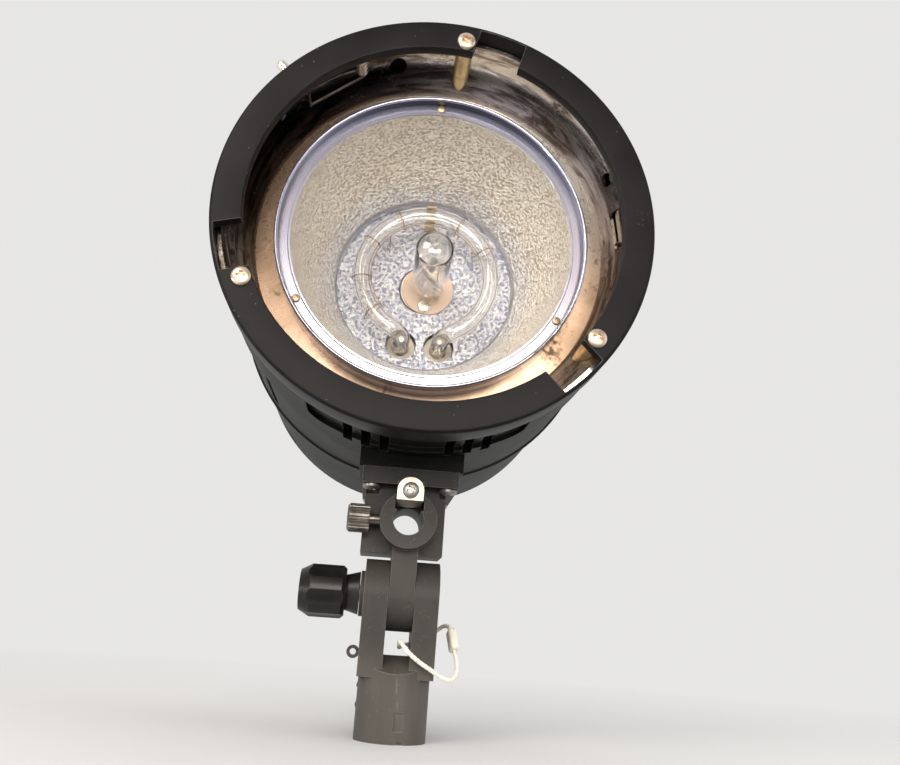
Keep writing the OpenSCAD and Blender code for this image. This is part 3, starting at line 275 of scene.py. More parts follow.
def circle(radius, count):
    angles = [2 * math.pi * k / count for k in range(count)]
    return [(radius * math.cos(a), radius * math.sin(a)) for a in angles]


def bar(start, end, half):  # the outline of a flat bar along X
    return [(start, -half), (end, -half), (end, half), (start, half)]


def placed(mesh, matrix):
    mesh.transform(matrix)
    return mesh


def merged(name, meshes):
    bm = bmesh.new()
    for mesh in meshes:
        bm.from_mesh(mesh)
    made = bpy.data.meshes.new(name)
    bm.to_mesh(made)
    bm.free()
    return made


def roundedBox(name, wide, thick, low, high, radius, steps):  # low and high along Z
    bm = bmesh.new()
    bmesh.ops.create_cube(bm, size=1.0)
    for v in bm.verts:
        x, y, z = v.co
        v.co = Vector((x * wide, y * thick, (low + high) / 2 + z * (high - low)))
    rim = bm.edges[:]
    bmesh.ops.bevel(bm, geom=rim, offset=radius, segments=steps, profile=0.5, affect="EDGES")
    mesh = bpy.data.meshes.new(name)
    bm.to_mesh(mesh)
    bm.free()
    return mesh


# Edges that turn by more than the sharp angle stay sharp, and 0 keeps a piece smooth all over
def finished(name, mesh, body, replaces, slot, sharp, finish=None):
    mesh.transform(Matrix.Scale(mm, 4))
    mesh.polygons.foreach_set("use_smooth", [True] * len(mesh.polygons))
    if sharp:
        mesh.set_sharp_from_angle(angle=math.radians(sharp))
    mesh.materials.clear()
    mesh.materials.append((finish or finishes[slot]).data)
    mesh.update()
    made = linked(name, mesh)
    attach(made, body)
    if replaces:
        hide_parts(*replaces)
    return made


# Head frame to the row's frame: x right, y up, z forwards out of the lamp
headTurn = Matrix(((1, 0, 0, 0), (0, 0, -1, -ringFront), (0, 1, 0, headAxis), (0, 0, 0, 1)))


def smoothRoute(points, steps):  # a curve through all the points
    points = [Vector(p) for p in points]
    ends = [2 * points[0] - points[1], *points, 2 * points[-1] - points[-2]]
    line = []
    for i in range(1, len(ends) - 2):
        a, b, c, d = ends[i - 1 : i + 3]
        for k in range(steps):
            t = k / steps
            bend = (2 * a - 5 * b + 4 * c - d) * t**2 + (3 * b - a - 3 * c + d) * t**3
            line.append(0.5 * (2 * b + (c - a) * t + bend))
    return [*line, points[-1]]


def tube(line, ringOf):  # rings of points joined along a line, with closed ends
    verts, faces = [], []
    for i in range(len(line)):
        ring = ringOf(i)
        verts += ring
    count = len(ring)
    for i in range(len(line) - 1):
        for k in range(count):
            a, b = i * count + k, i * count + (k + 1) % count
            faces.append((a, b, b + count, a + count))
    faces.append(tuple(range(count - 1, -1, -1)))
    faces.append(tuple(range((len(line) - 1) * count, len(line) * count)))
    return verts, faces


def carried(line):  # a side and an up for each point, turned as little as possible
    ahead = (line[1] - line[0]).normalized()
    side = Vector((1, 0, 0)) if abs(ahead.x) < 0.9 else Vector((0, 1, 0))
    found = []
    for i in range(len(line)):
        ahead = (line[min(i + 1, len(line) - 1)] - line[max(i - 1, 0)]).normalized()
        side = (side - ahead * side.dot(ahead)).normalized()
        found.append((side, ahead.cross(side)))
    return found


def wire(line, radius, sides):  # radius may be a number or one for each point
    line = [Vector(p) for p in line]
    frames = carried(line)

    def ring(i):
        side, up = frames[i]
        r = radius[i] if isinstance(radius, list) else radius
        angles = [2 * math.pi * k / sides for k in range(sides)]
        return [line[i] + r * (math.cos(a) * side + math.sin(a) * up) for a in angles]

    return rawMesh("wire", *tube(line, ring))


print("finishes")


def blackSatin():  # the ring's paint: satin, with dust specks, hair scratches, and edges lightened both as rubbed paint and as a painted highlight along them
    f = Finish("satinBlackPaint", Specular_IOR_Level=0.16)
    soft = f.edges(0.4)
    cloud = f.noise(38, 4)
    speck = f.cells(520) < 0.1
    rare = f.noise(70, 2).ramp(0.57, 0.64)
    scratch = f.noise(9, 6, 0.7, f.scaled((300, 12, 40))).ramp(0.7, 0.74)
    # worn lightens the sharp edges: partly rubbed paint, partly a painted highlight along them
    worn = f.rim(soft) * (0.4 + 0.6 * f.noise(260, 4, 0.7).ramp(0.3, 0.6))
    tone = f.mix(cloud.ramp(0.35, 0.7), (0.0042, 0.0036, 0.0038), (0.0085, 0.0074, 0.0078))
    tone = f.mix((scratch * 0.25).most(worn * 0.8), tone, (0.26, 0.245, 0.23))
    f.put("Base Color", f.mix(speck * rare * 0.4, tone, (0.3, 0.27, 0.23)))
    f.put("Roughness", 0.42 + 0.12 * cloud + 0.1 * scratch)
    f.put("Normal", f.bump(f.noise(1500, 2), 0.01, soft))
    return f


def mouldedPlastic(name, tones, grain=900, depth=0.03, rough=0.5, wear=0.35, gloss=0.14):
    f = Finish(name, Specular_IOR_Level=gloss)
    dark, light = tones
    soft = f.edges(0.35)
    cloud = f.noise(45, 4)
    spark = f.noise(grain, 3, 0.7)
    worn = f.noise(120, 5, 0.65).ramp(0.55, 0.75)
    # edge lightens the sharp edges: partly rubbed wear, partly a painted highlight along them
    edge = f.rim(soft) * f.noise(300, 3, 0.7).ramp(0.25, 0.55)
    tone = f.mix(cloud.ramp(0.3, 0.75), dark, light)
    tone = f.mix(worn * wear, tone, tuple(c * 1.8 + 0.006 for c in light))
    f.put("Base Color", f.mix(edge * 0.6, tone, (0.12, 0.115, 0.11)))
    f.put("Roughness", rough - 0.08 + 0.16 * cloud + 0.08 * spark)
    f.put("Normal", f.bump(spark, depth, soft))
    return f


def wornGrey():  # bracket and fork: dark moulding, rubbed pale where it is handled
    f = Finish("wornGreyMoulding", Specular_IOR_Level=0.28)
    soft = f.edges(0.4)
    z = f.parts()[2]
    cloud = f.noise(60, 5, 0.6)
    streak = f.noise(22, 5, 0.6, f.scaled((5, 5, 1.4)))
    low = z.ramp(0.036, 0.016)  # the socket is rubbed most
    mid = z.ramp(0.085, 0.06)
    rub = (streak.ramp(0.3, 0.8) * (0.25 + 0.75 * low)).least(1)
    scratch = f.noise(14, 5, 0.75, f.scaled((22, 22, 3)), 0.6).ramp(0.64, 0.68) * low
    speck = (f.cells(900) < 0.14) * f.noise(150, 2).ramp(0.5, 0.62)
    edge = f.rim(soft) * f.noise(240, 4, 0.7).ramp(0.2, 0.5)
    tone = f.mix(cloud.ramp(0.3, 0.7), (0.008, 0.0074, 0.007), (0.015, 0.0138, 0.0128))
    tone = f.mix(mid * 0.7, tone, (0.05, 0.044, 0.039))
    tone = f.mix(low * 0.5, tone, (0.1, 0.088, 0.078))
    tone = f.mix(rub * 0.35, tone, (0.15, 0.132, 0.116))
    tone = f.mix((edge * 0.6).most(scratch * 0.35), tone, (0.3, 0.28, 0.25))
    f.put("Base Color", f.mix(speck * 0.35, tone, (0.3, 0.27, 0.24)))
    f.put("Roughness", 0.42 + 0.14 * cloud + 0.1 * streak)
    f.put("Normal", f.bump(f.noise(1100, 3) + 0.4 * streak, 0.03, soft))
    return f


def platedCup():  # nickel plate, almost a mirror: warm on the floor, smeared on the wall, with painted reflection and shade: the floor darker on the left, silver at the upper right and darker at the bottom, and the wall's upper left near black
    f = Finish("warmNickelPlate")
    x, across, depth = f.headParts()
    flat = depth.ramp(0.0275, 0.029)
    right = x.ramp(-0.06, 0.035)
    high = across.ramp(-0.02, 0.045)
    smudge = f.noise(55, 5, 0.65)
    stain = (f.noise(90, 6, 0.7) + 0.35 * f.noise(700, 2)).ramp(0.74, 0.9)
    streak = f.noise(50, 7, 0.7, f.scaled((0.8, 5, 0.8)), 1.2).ramp(0.44, 0.58)
    # the wall's upper left: a painted dark reflection, near black
    paintedDarkReflection = x.ramp(0.006, -0.03) * across.ramp(-0.02, 0.012)
    gold = f.mix(smudge.ramp(0.35, 0.7), (0.6, 0.42, 0.3), (0.38, 0.26, 0.17))
    # painted reflection and shade on the floor: darker on the left, silver at the upper right,
    # darker at the bottom
    gold = f.mix((1 - right) * 0.75, gold, f.mix(streak, (0.25, 0.16, 0.105), (0.1, 0.065, 0.042)))
    gold = f.mix(high * right * 0.8, gold, (0.86, 0.83, 0.78))
    bottom = across.ramp(-0.05, -0.066) * x.abs().ramp(0.04, 0.01)
    gold = f.mix(bottom * 0.7, gold, (0.4, 0.29, 0.22))
    wall = f.mix(smudge.ramp(0.35, 0.7), (0.84, 0.8, 0.74), (0.6, 0.54, 0.47))
    wall = f.mix(streak * 0.8, wall, (0.16, 0.11, 0.08))
    wall = f.mix(paintedDarkReflection * (0.97 - 0.35 * (1 - streak) * smudge), wall, (0.012, 0.01, 0.009))
    f.put("Metallic", 1 - 0.2 * flat - 0.12 * (1 - streak) * (1 - paintedDarkReflection))
    tone = f.mix(flat, wall, gold)
    f.put("Base Color", f.mix(stain * 0.75, tone, (0.12, 0.07, 0.04)))
    f.put("Roughness", 0.07 + 0.12 * smudge + 0.25 * stain + 0.08 * streak + 0.14 * flat)
    f.put("Normal", f.bump(f.noise(300, 3) + 0.6 * smudge, 0.02))
    return f


def brightPlate(name, tone, dull, rough=0.2):
    f = Finish(name, Metallic=0.85)
    soft = f.edges(0.15)
    cloud = f.noise(240, 4)
    pit = f.cells(2600) < 0.12
    f.put("Base Color", f.mix(cloud.ramp(0.4, 0.75), tone, dull))
    f.put("Roughness", rough + 0.16 * cloud + 0.15 * pit)
    f.put("Normal", f.bump(f.noise(2600, 2), 0.01, soft))
    return f


def pebbledBowl():  # bright aluminium: pebbled in the dish, smooth and cool on the lip; painted shade in the pebbles' valleys, painted glints on their crests, and a painted dark reflection on the lip's inner wall
    f = Finish("pebbledAluminium")
    x, across, depth = f.headParts()
    radius = (x * x + across * across) ** 0.5
    dish = radius.ramp(0.0515, 0.0511) * depth.ramp(0.0217, 0.0228)
    well = depth.ramp(0.0655, 0.0675)
    cool = depth.ramp(0.052, 0.068)
    cloud = f.noise(35, 3)
    crinkle = f.noise(900 - 200 * well, 2, 0.5, swirl=0.25)
    fine = f.noise(1300, 2, 0.5)
    height = crinkle + 0.25 * fine
    # painted shade in the pebbles' valleys: darker, and blue in the well
    paintedValleyShade = height.ramp(0.64, 0.54) * dish
    # painted glints on the pebbles' crests
    paintedCrestGlint = height.ramp(0.7, 0.8)
    warm = f.mix(cloud.ramp(0.35, 0.7), (0.98, 0.91, 0.8), (0.95, 0.86, 0.74))
    dishTone = f.mix(cool * 0.8, warm, (0.74, 0.76, 0.84))
    valleyShadeTone = f.mix(well, (0.36, 0.28, 0.2), (0.18, 0.2, 0.33))
    dishTone = f.mix(paintedValleyShade * 0.75, dishTone, valleyShadeTone)
    dishTone = f.mix(paintedCrestGlint * 0.7, dishTone, (1.0, 0.98, 0.94))
    lipTone = f.mix(cloud, (0.46, 0.47, 0.64), (0.6, 0.6, 0.72))
    lipTone = f.mix(across.ramp(0.0, -0.05) * 0.5, lipTone, (0.42, 0.38, 0.36))
    # a painted dark reflection on the lip's inner wall, near black
    wall = depth.ramp(0.0183, 0.0188) * depth.ramp(0.0221, 0.0218) * radius.ramp(0.0545, 0.0549)
    lipTone = f.mix(wall * 0.9, lipTone, (0.03, 0.03, 0.036))
    f.put("Base Color", f.mix(dish, lipTone, dishTone))
    f.put("Metallic", 0.92 - 0.74 * dish + 0.2 * well * dish)
    f.put("Roughness", 0.2 + 0.08 * paintedValleyShade + 0.05 * cloud)
    f.put("Normal", f.bump(height * dish, 1.6))
    return f


def clearGlass():  # thin walls: hardly bends what lies behind, but shines along its edges
    f = Finish("clearQuartz", Transmission_Weight=0.95, IOR=1.08, Roughness=0.0)
    f.put("Coat Weight", 1.0)
    f.put("Coat IOR", 1.6)
    haze = f.noise(160, 3).ramp(0.45, 0.75)
    f.put("Base Color", f.mix(haze, (1.0, 0.99, 0.975), (0.95, 0.935, 0.91)))
    return f


def plainPlastic(name, colour, rough, grain=1500):
    f = Finish(name, Specular_IOR_Level=0.5)
    cloud = f.noise(120, 4)
    deep = tuple(c * 0.78 for c in colour)
    f.put("Base Color", f.mix(cloud.ramp(0.35, 0.7), colour, deep))
    f.put("Roughness", rough + 0.12 * cloud)
    f.put("Normal", f.bump(f.noise(grain, 2), 0.015, f.edges(0.25)))
    return f


def cottonFinish():
    f = Finish("offWhiteCotton", Roughness=0.9, Sheen_Weight=0.3, Specular_IOR_Level=0.2)
    dirt = f.noise(260, 4).ramp(0.4, 0.7)
    fuzz = f.noise(5200, 2)
    f.put("Base Color", f.mix(dirt * 0.5, (0.78, 0.74, 0.66), (0.46, 0.42, 0.35)))
    f.put("Normal", f.bump(fuzz, 0.12))
    return f


mouldTones = ((0.0035, 0.0034, 0.0034), (0.0065, 0.0062, 0.006))
glossTones = ((0.006, 0.0055, 0.005), (0.013, 0.0115, 0.01))
finishes = {
    "black_satin": blackSatin(),
    "black_moulding": mouldedPlastic("blackMoulding", mouldTones),
    "grey_moulding": wornGrey(),
    "black_gloss": mouldedPlastic("smoothBlack", glossTones, 1500, 0.015, 0.3, 0.2, 0.35),
    "plated_cup": platedCup(),
    "bright_plate": brightPlate("brightNickel", (0.9, 0.83, 0.72), (0.7, 0.6, 0.46)),
    "brass_plate": brightPlate("turnedBrass", (0.88, 0.68, 0.38), (0.62, 0.44, 0.22), 0.24),
    "spun_aluminium": pebbledBowl(),
    "steel": brightPlate("plainSteel", (0.5, 0.5, 0.5), (0.3, 0.3, 0.3), 0.3),
    "clear_glass": clearGlass(),
    "ceramic": plainPlastic("creamInsulator", (0.8, 0.7, 0.58), 0.5, 900),
    "cotton": cottonFinish(),
    "ivory_plastic": plainPlastic("ivorySeal", (0.82, 0.77, 0.66), 0.4),
    "green_board": plainPlastic("boardLaminate", (0.02, 0.13, 0.06), 0.4),
    "blue_sleeve": plainPlastic("canSleeve", (0.02, 0.04, 0.14), 0.3),
    "red_plastic": plainPlastic("redRocker", (0.5, 0.02, 0.015), 0.3),
    "grey_plastic": plainPlastic("greyButton", (0.35, 0.35, 0.36), 0.35),
    "red_lens": plainPlastic("redLens", (0.3, 0.01, 0.01), 0.12),
    "green_lens": plainPlastic("greenLens", (0.03, 0.35, 0.08), 0.15),
    "copper_coil": brightPlate("woundCopper", (0.6, 0.3, 0.16), (0.35, 0.16, 0.08), 0.3),
}
ownFinish = {  # nodes whose finish differs from their slot's own
    "trigger_wire": brightPlate("brownedWire", (0.45, 0.32, 0.2), (0.16, 0.1, 0.06), 0.35),
    "tube_clip": brightPlate("tanClip", (0.85, 0.7, 0.5), (0.6, 0.45, 0.3), 0.3),
    "ring_screws": brightPlate("warmScrew", (0.85, 0.68, 0.52), (0.5, 0.38, 0.28), 0.22),
    "reflector_screws": brightPlate("tanScrew", (0.7, 0.5, 0.34), (0.35, 0.24, 0.16), 0.3),
    "bracket_screws": brightPlate("darkScrew", (0.35, 0.33, 0.31), (0.16, 0.15, 0.14), 0.3),
    "umbrella_clip": brightPlate("warmClip", (0.62, 0.52, 0.42), (0.4, 0.32, 0.25), 0.36),
    "umbrella_thumbscrew": brightPlate("darkKnurl", (0.2, 0.18, 0.16), (0.07, 0.06, 0.055), 0.28),
    "umbrella_clip_screw": brightPlate("greyScrew", (0.4, 0.37, 0.34), (0.2, 0.18, 0.16), 0.28),
    "lock_spring": brightPlate("blackSpring", (0.12, 0.1, 0.09), (0.05, 0.04, 0.035), 0.3),
    # the rattle spring's nickel is painted darker, as painted shade
    "rattle_spring": brightPlate("paintedShadeSpring", (0.35, 0.3, 0.25), (0.16, 0.13, 0.1), 0.3),
    "lamp_plate": plainPlastic("pinkTanPlate", (0.74, 0.56, 0.43), 0.5, 900),
}
slotOf = {row["node"]: row["material_slot"] for row in frame["record"]["subparts"]}

for name, made in nodes.items():
    made.data.materials.clear()
    made.data.materials.append(ownFinish.get(name, finishes[slotOf[name]]).data)

print("string")

tagString = {
    "route": [
        (19.2, 2, 38.3), (18.4, 4.8, 39.6), (17, 8, 39.6), (15.2, 11, 38.2), (12.4, 12.8, 35.8),
        (9, 13.2, 34), (5.2, 12.4, 32.4), (2.4, 9.5, 32), (1.2, 4, 31.4), (0.9, -2, 31.6),
        (0.7, -7.5, 32.6), (0.5, -11.2, 33.6), (1, -13.4, 33.2), (3.2, -14.6, 30.6), (7, -15, 27.6),
        (11.4, -15, 25), (15.4, -14.4, 22.8), (18.6, -12.6, 21.8), (20.8, -9.8, 23.4),
        (21.4, -6.6, 27), (20.4, -3.2, 31.4),
    ],
    "thick": 1.6,
    "strands": 3,
    "twist": 4.6,  # length of one turn
    "groove": 0.2,  # depth between the strands, as a share of the radius
    "sides": 18,
}
tagSeal = {"wide": 3.0, "thick": 4.2, "round": 0.9, "gap": 0.1}


def addString():
    line = smoothRoute(tagString["route"], 14)
    frames = carried(line)
    walked, along = [], 0.0
    for i, p in enumerate(line):
        along += (p - line[i - 1]).length if i else 0
        walked.append(along)

    def ring(i):
        side, up = frames[i]
        turn = 2 * math.pi * walked[i] / tagString["twist"]
        points = []
        for k in range(tagString["sides"]):
            a = 2 * math.pi * k / tagString["sides"]
            lobe = abs(math.cos(tagString["strands"] * (a - turn) / 2))
            r = tagString["thick"] / 2 * (1 - tagString["groove"] * (1 - lobe))
            points.append(line[i] + r * (math.cos(a) * side + math.sin(a) * up))
        return points

    mesh = rawMesh("tagString", *tube(line, ring))
    made = finished("tagString", mesh, "stand", ["tag_string"], "cotton", 0)
    return made, [p * mm for p in line], along * mm


def addSeal():  # fills the gap between the string's two ends
    g = tagSeal
    last, first = Vector(tagString["route"][-1]), Vector(tagString["route"][0])
    span = first - last
    turn = span.to_track_quat("Z", "Y").to_matrix().to_4x4()
    end = span.length - g["gap"]
    mesh = roundedBox("tagSeal", g["wide"], g["thick"], g["gap"], end, g["round"], 5)
    placed(mesh, Matrix.Translation(last) @ turn)
    return finished("tagSeal", mesh, "stand", ["tag_seal"], "ivory_plastic", 0)


string, stringLine, stringLength = addString()
seal = addSeal()

print("front ring")

frontRing = {
    "outer": 76.0, "open": 65.3, "face": 4.5, "skirt": 14.0, "wall": 1.3,
    "round": 1.2, "small": 0.35,
    "notchWide": 17.2, "notchAngles": (75, 195, 315), "notchFrom": 55, "notchSteps": 16,
    "pinAngle": 137, "pinDepth": 7.1, "pinHole": 2.25, "pinReach": (68, 80),
}


def arcPoints(x, z, radius, start, end, steps):
    angles = [math.radians(start + (end - start) * i / steps) for i in range(steps + 1)]
    return [(x + radius * math.cos(a), z + radius * math.sin(a)) for a in angles]


def addFrontRing():
    g = frontRing
    s, inside = g["small"], g["outer"] - g["wall"]
    profile = [
        *arcPoints(g["open"] + s, -s, s, 180, 90, 4),
        *arcPoints(g["outer"] - g["round"], -g["round"], g["round"], 90, 0, 8),
        *arcPoints(g["outer"] - s, -g["skirt"] + s, s, 0, -90, 4),
        (inside, -g["skirt"]),
        (inside, -g["face"]),
        *arcPoints(g["open"] + s, -g["face"] + s, s, -90, -180, 4),
    ]
    mesh = tidied(rawMesh("frontRing", *lathe(profile, 288)))
    half, start, steps = g["notchWide"] / 2, g["notchFrom"], g["notchSteps"]
    heights = [half * (1 - 2 * i / steps) for i in range(steps + 1)]
    outline = [(start, -half), (start, half)]
    outline += [(math.sqrt(inside**2 - y * y), y) for y in heights]
    cutters = []
    for angle in g["notchAngles"]:
        spin = Matrix.Rotation(math.radians(angle), 4, "Z")
        cutters.append(placed(prism(outline, -g["face"] - 2, 2), spin))
    hole = prism(circle(g["pinHole"], 40), *g["pinReach"])
    hole.transform(Matrix.Rotation(math.radians(90), 4, "Y"))
    hole.transform(Matrix.Translation((0, 0, -g["pinDepth"])))
    cutters.append(placed(hole, Matrix.Rotation(math.radians(g["pinAngle"]), 4, "Z")))
    made = placed(carved(mesh, cutters), headTurn)
    finished("frontRing", made, "head", ["front_ring", "ring_skirt"], "black_satin", 30)


addFrontRing()

print("screws")

screwKinds = {  # out: which way the head faces, or None for heads that face the lamp's axis
    "ring_screws": {"out": (0, -1, 0), "cross": 0.62, "deep": 0.8},
    "reflector_screws": {"out": (0, -1, 0), "cross": 0.6, "deep": 0.7},
    "lamp_plate_screw": {"out": (0, -1, 0), "cross": 0.62, "deep": 0.7},
    "cup_screws": {"out": None, "cross": 0.6, "deep": 0.7},
    "umbrella_clip_screw": {"out": (0, -1, 0), "cross": 0.6, "deep": 0.7},
    "bracket_screws": {"out": (0, 0, -1), "cross": 0.6, "deep": 0.7},
    "panel_screws": {"out": (0, 1, 0), "cross": 0.6, "deep": 0.7},
    "shell_screws": {"out": (0, 0, -1), "cross": 0.6, "deep": 0.7},
}
screwShape = {  # shares of the head's own radius or height
    "brim": 0.45, "dome": 0.55, "edge": 0.12, "foot": 0.95,
    "slot": 0.17, "mouth": 1.25, "floorWide": 0.8, "floorLong": 0.62,
}
firstCross, nextCross = 23, 67  # degrees, so that no two crosses of a node stand alike
tipBand, rimShare = 0.1, 0.92  # how near the tip, and how far out, a point tells shank or head


def solidsOf(name):  # the separate solids of a node, as lists of points in millimetres
    bm = bmesh.new()
    bm.from_mesh(nodes[name].data)
    bmesh.ops.remove_doubles(bm, verts=bm.verts, dist=1e-6)
    seen, found = set(), []
    for start in bm.verts:  # in the mesh's own order, so that each run gives the same crosses
        if start in seen:
            continue
        seen.add(start)
        stack, group = [start], []
        while stack:
            v = stack.pop()
            group.append(v.co / mm)
            for e in v.link_edges:
                other = e.other_vert(v)
                if other not in seen:
                    seen.add(other)
                    stack.append(other)
        found.append(group)
    bm.free()
    return found


def screwMesh(headR, headH, shankR, shankL, cross, deep):  # head up, seat at z = 0
    g = screwShape
    angles = [math.pi / 2 * i / 10 for i in range(11)]
    dome = [(headR * math.sin(a), headH * (g["brim"] + g["dome"] * math.cos(a))) for a in angles]
    dome[0] = (0.001, dome[0][1])
    profile = [*dome, (headR, headH * g["edge"]), (headR * g["foot"], 0), (0.001, 0)]
    head = tidied(rawMesh("head", *lathe(profile, 48, False)))
    cutters = []
    long, thin, depth = headR * cross, headR * g["slot"], headH * deep
    for turn in (0, 90):
        bm = bmesh.new()
        bmesh.ops.create_cube(bm, size=2.0)
        for v in bm.verts:
            x, y, z = v.co.x * long, v.co.y * thin, v.co.z
            if z < 0:
                v.co = Vector((x * g["floorLong"], y * g["floorWide"], headH - depth))
            else:
                v.co = Vector((x, y * g["mouth"], headH + 1))
        cutter = bpy.data.meshes.new("cross")
        bm.to_mesh(cutter)
        bm.free()
        cutters.append(placed(cutter, Matrix.Rotation(math.radians(turn), 4, "Z")))
    end = -shankL
    shank = [(0.001, 0.05), (shankR, 0.05), (shankR, end + 0.3), (shankR - 0.3, end), (0.001, end)]
    return carved(head, cutters), tidied(rawMesh("shank", *lathe(shank, 24, False)))


def addScrews(name, kind):  # drawn where the node's own screws are, and as large
    done = []
    for i, group in enumerate(solidsOf(name)):
        centre = sum(group, Vector()) / len(group)
        out = Vector(kind["out"] or (-centre.x, 0, headAxis - centre.z)).normalized()
        heights = [p.dot(out) for p in group]
        top, tip = max(heights), min(heights)
        low = [p - out * p.dot(out) for p in group if p.dot(out) < tip + tipBand]
        middle = sum(low, Vector()) / len(low)
        reach = [(p - out * p.dot(out) - middle).length for p in group]
        headR, shankR = max(reach), max((p - middle).length for p in low)
        seat = min(h for h, r in zip(heights, reach) if r > headR * rimShare)
        head, shank = screwMesh(headR, top - seat, shankR, seat - tip, kind["cross"], kind["deep"])
        turn = out.to_track_quat("Z", "Y").to_matrix().to_4x4()
        spin = Matrix.Rotation(math.radians(firstCross + nextCross * i), 4, "Z")
        move = Matrix.Translation(middle + out * seat) @ turn @ spin
        done += [placed(head, move), placed(shank, move)]
    mesh = merged(name, done)
    slot = slotOf[name]
    finished("crossed_" + name, mesh, "head", [name], slot, 28, ownFinish.get(name))


for name, kind in screwKinds.items():
    addScrews(name, kind)

print("flash tube")

flashTube = {
    "ring": 25.7, "glass": 3.5, "fit": 0.99, "wall": 0.85, "depth": 56.0, "bend": 6.0,
    "gap": 30.14, "bottom": 82.5, "sealed": 4,
    "lead": 0.5, "cathode": 1.5, "anode": 1.1,
    "beads": ((0.12, 1.5), (0.24, 1.3), (0.36, 1.1)), "beadHigh": 0.35,  # share of the lead, radius
    "legSteps": 6, "bendSteps": 12, "ringSteps": 120,
}


def tubeLine(low):  # the glass's centre line, from one leg's depth over the ring to the other's
    g = flashTube
    line = []

    def legPoint(side, along, depth):
        a = math.radians(-90 + side * g["gap"])
        x, y = g["ring"], -side * along
        across, up = x * math.cos(a) - y * math.sin(a), x * math.sin(a) + y * math.cos(a)
        return Vector((across, up, -depth))

    bend, legTop = g["bend"], g["depth"] + g["bend"]
    legs, bends, rings = g["legSteps"], g["bendSteps"], g["ringSteps"]
    for side in (-1, 1):
        leg = [legPoint(side, bend, low + (legTop - low) * i / legs) for i in range(legs)]
        turns = [math.radians(90 - 90 * i / bends) for i in range(bends + 1)]
        arc = [legPoint(side, bend * math.sin(t), legTop - bend * math.cos(t)) for t in turns]
        if side < 0:
            line = leg + arc
            start, end = 270 - g["gap"], -90 + g["gap"]
            for i in range(1, rings):
                a = math.radians(start + (end - start) * i / rings)
                line.append(Vector((g["ring"] * math.cos(a), g["ring"] * math.sin(a), -g["depth"])))
        else:
            line += arc[::-1] + leg[::-1]
    return line


def addFlashTube():
    g = flashTube
    outside = tubeLine(g["bottom"])
    inside = tubeLine(g["bottom"] - g["sealed"])
    outer = wire(outside, g["glass"] * g["fit"], 36)
    inner = wire(inside, g["glass"] - g["wall"], 36)
    inner.flip_normals()
    mesh = placed(merged("flashTube", [outer, inner]), headTurn)
    finished("flashGlass", mesh, "head", ["flash_tube"], "clear_glass", 40)
    parts = []
    for end, radius in ((inside[0], g["cathode"]), (inside[-1], g["anode"])):
        top = Vector((end.x, end.y, -g["depth"] - g["bend"] - 1))
        rod = [end + (top - end) * i / 8 for i in range(9)]
        parts.append(wire(rod, [g["lead"]] * 5 + [radius, radius, radius, radius * 0.7], 20))
        for share, bead in g["beads"]:
            low = end + (top - end) * share
            parts.append(wire([low, low + Vector((0, 0, g["beadHigh"]))], bead, 24))
    metal = placed(merged("tubeElectrodes", parts), headTurn)
    finished("tubeElectrodes", metal, "head", (), "bright_plate", 30)


addFlashTube()

print("modelling lamp")

lamp = {  # depths are behind the ring's face
    "radius": 7.0, "wall": 0.8, "tip": 23.5, "dome": 3.2, "nipple": 1.0, "base": 61.5,
    "place": (1.5, -1), "turn": -32, "pinch": (12.8, 4.4, 60.9, 67.0), "round": 0.9,
    "pins": 3.175, "pin": 0.5, "pinTop": 66.4, "pinEnd": 78.5,
    "foil": (1.1, 0.04, 61.6, 66.6),  # half its width, half its thickness, from depth, to depth
    "coil": 1.5, "turns": 9, "coilTop": 37.5, "coilLong": 10, "thread": 0.2, "lead": 0.22,
    "longLead": ((3.1, 0.3, -62.4), (3.3, 0.4, -50), (3.4, 0.5, -36.6), (2.6, 0.3, -36.3)),
    "shortLead": ((-3.1, 0.3, -62.4), (-3, 0.3, -52), (-1.4, 0.2, -48.6)),
}


def capHalf(radius, top, rise, steps, first=0):  # half the outline of a low dome, from its top down
    ball = (radius * radius + rise * rise) / (2 * rise)
    most = math.asin(min(1, radius / ball))
    angles = [most * i / steps for i in range(first, steps + 1)]
    return [(ball * math.sin(a), top - ball + ball * math.cos(a)) for a in angles]


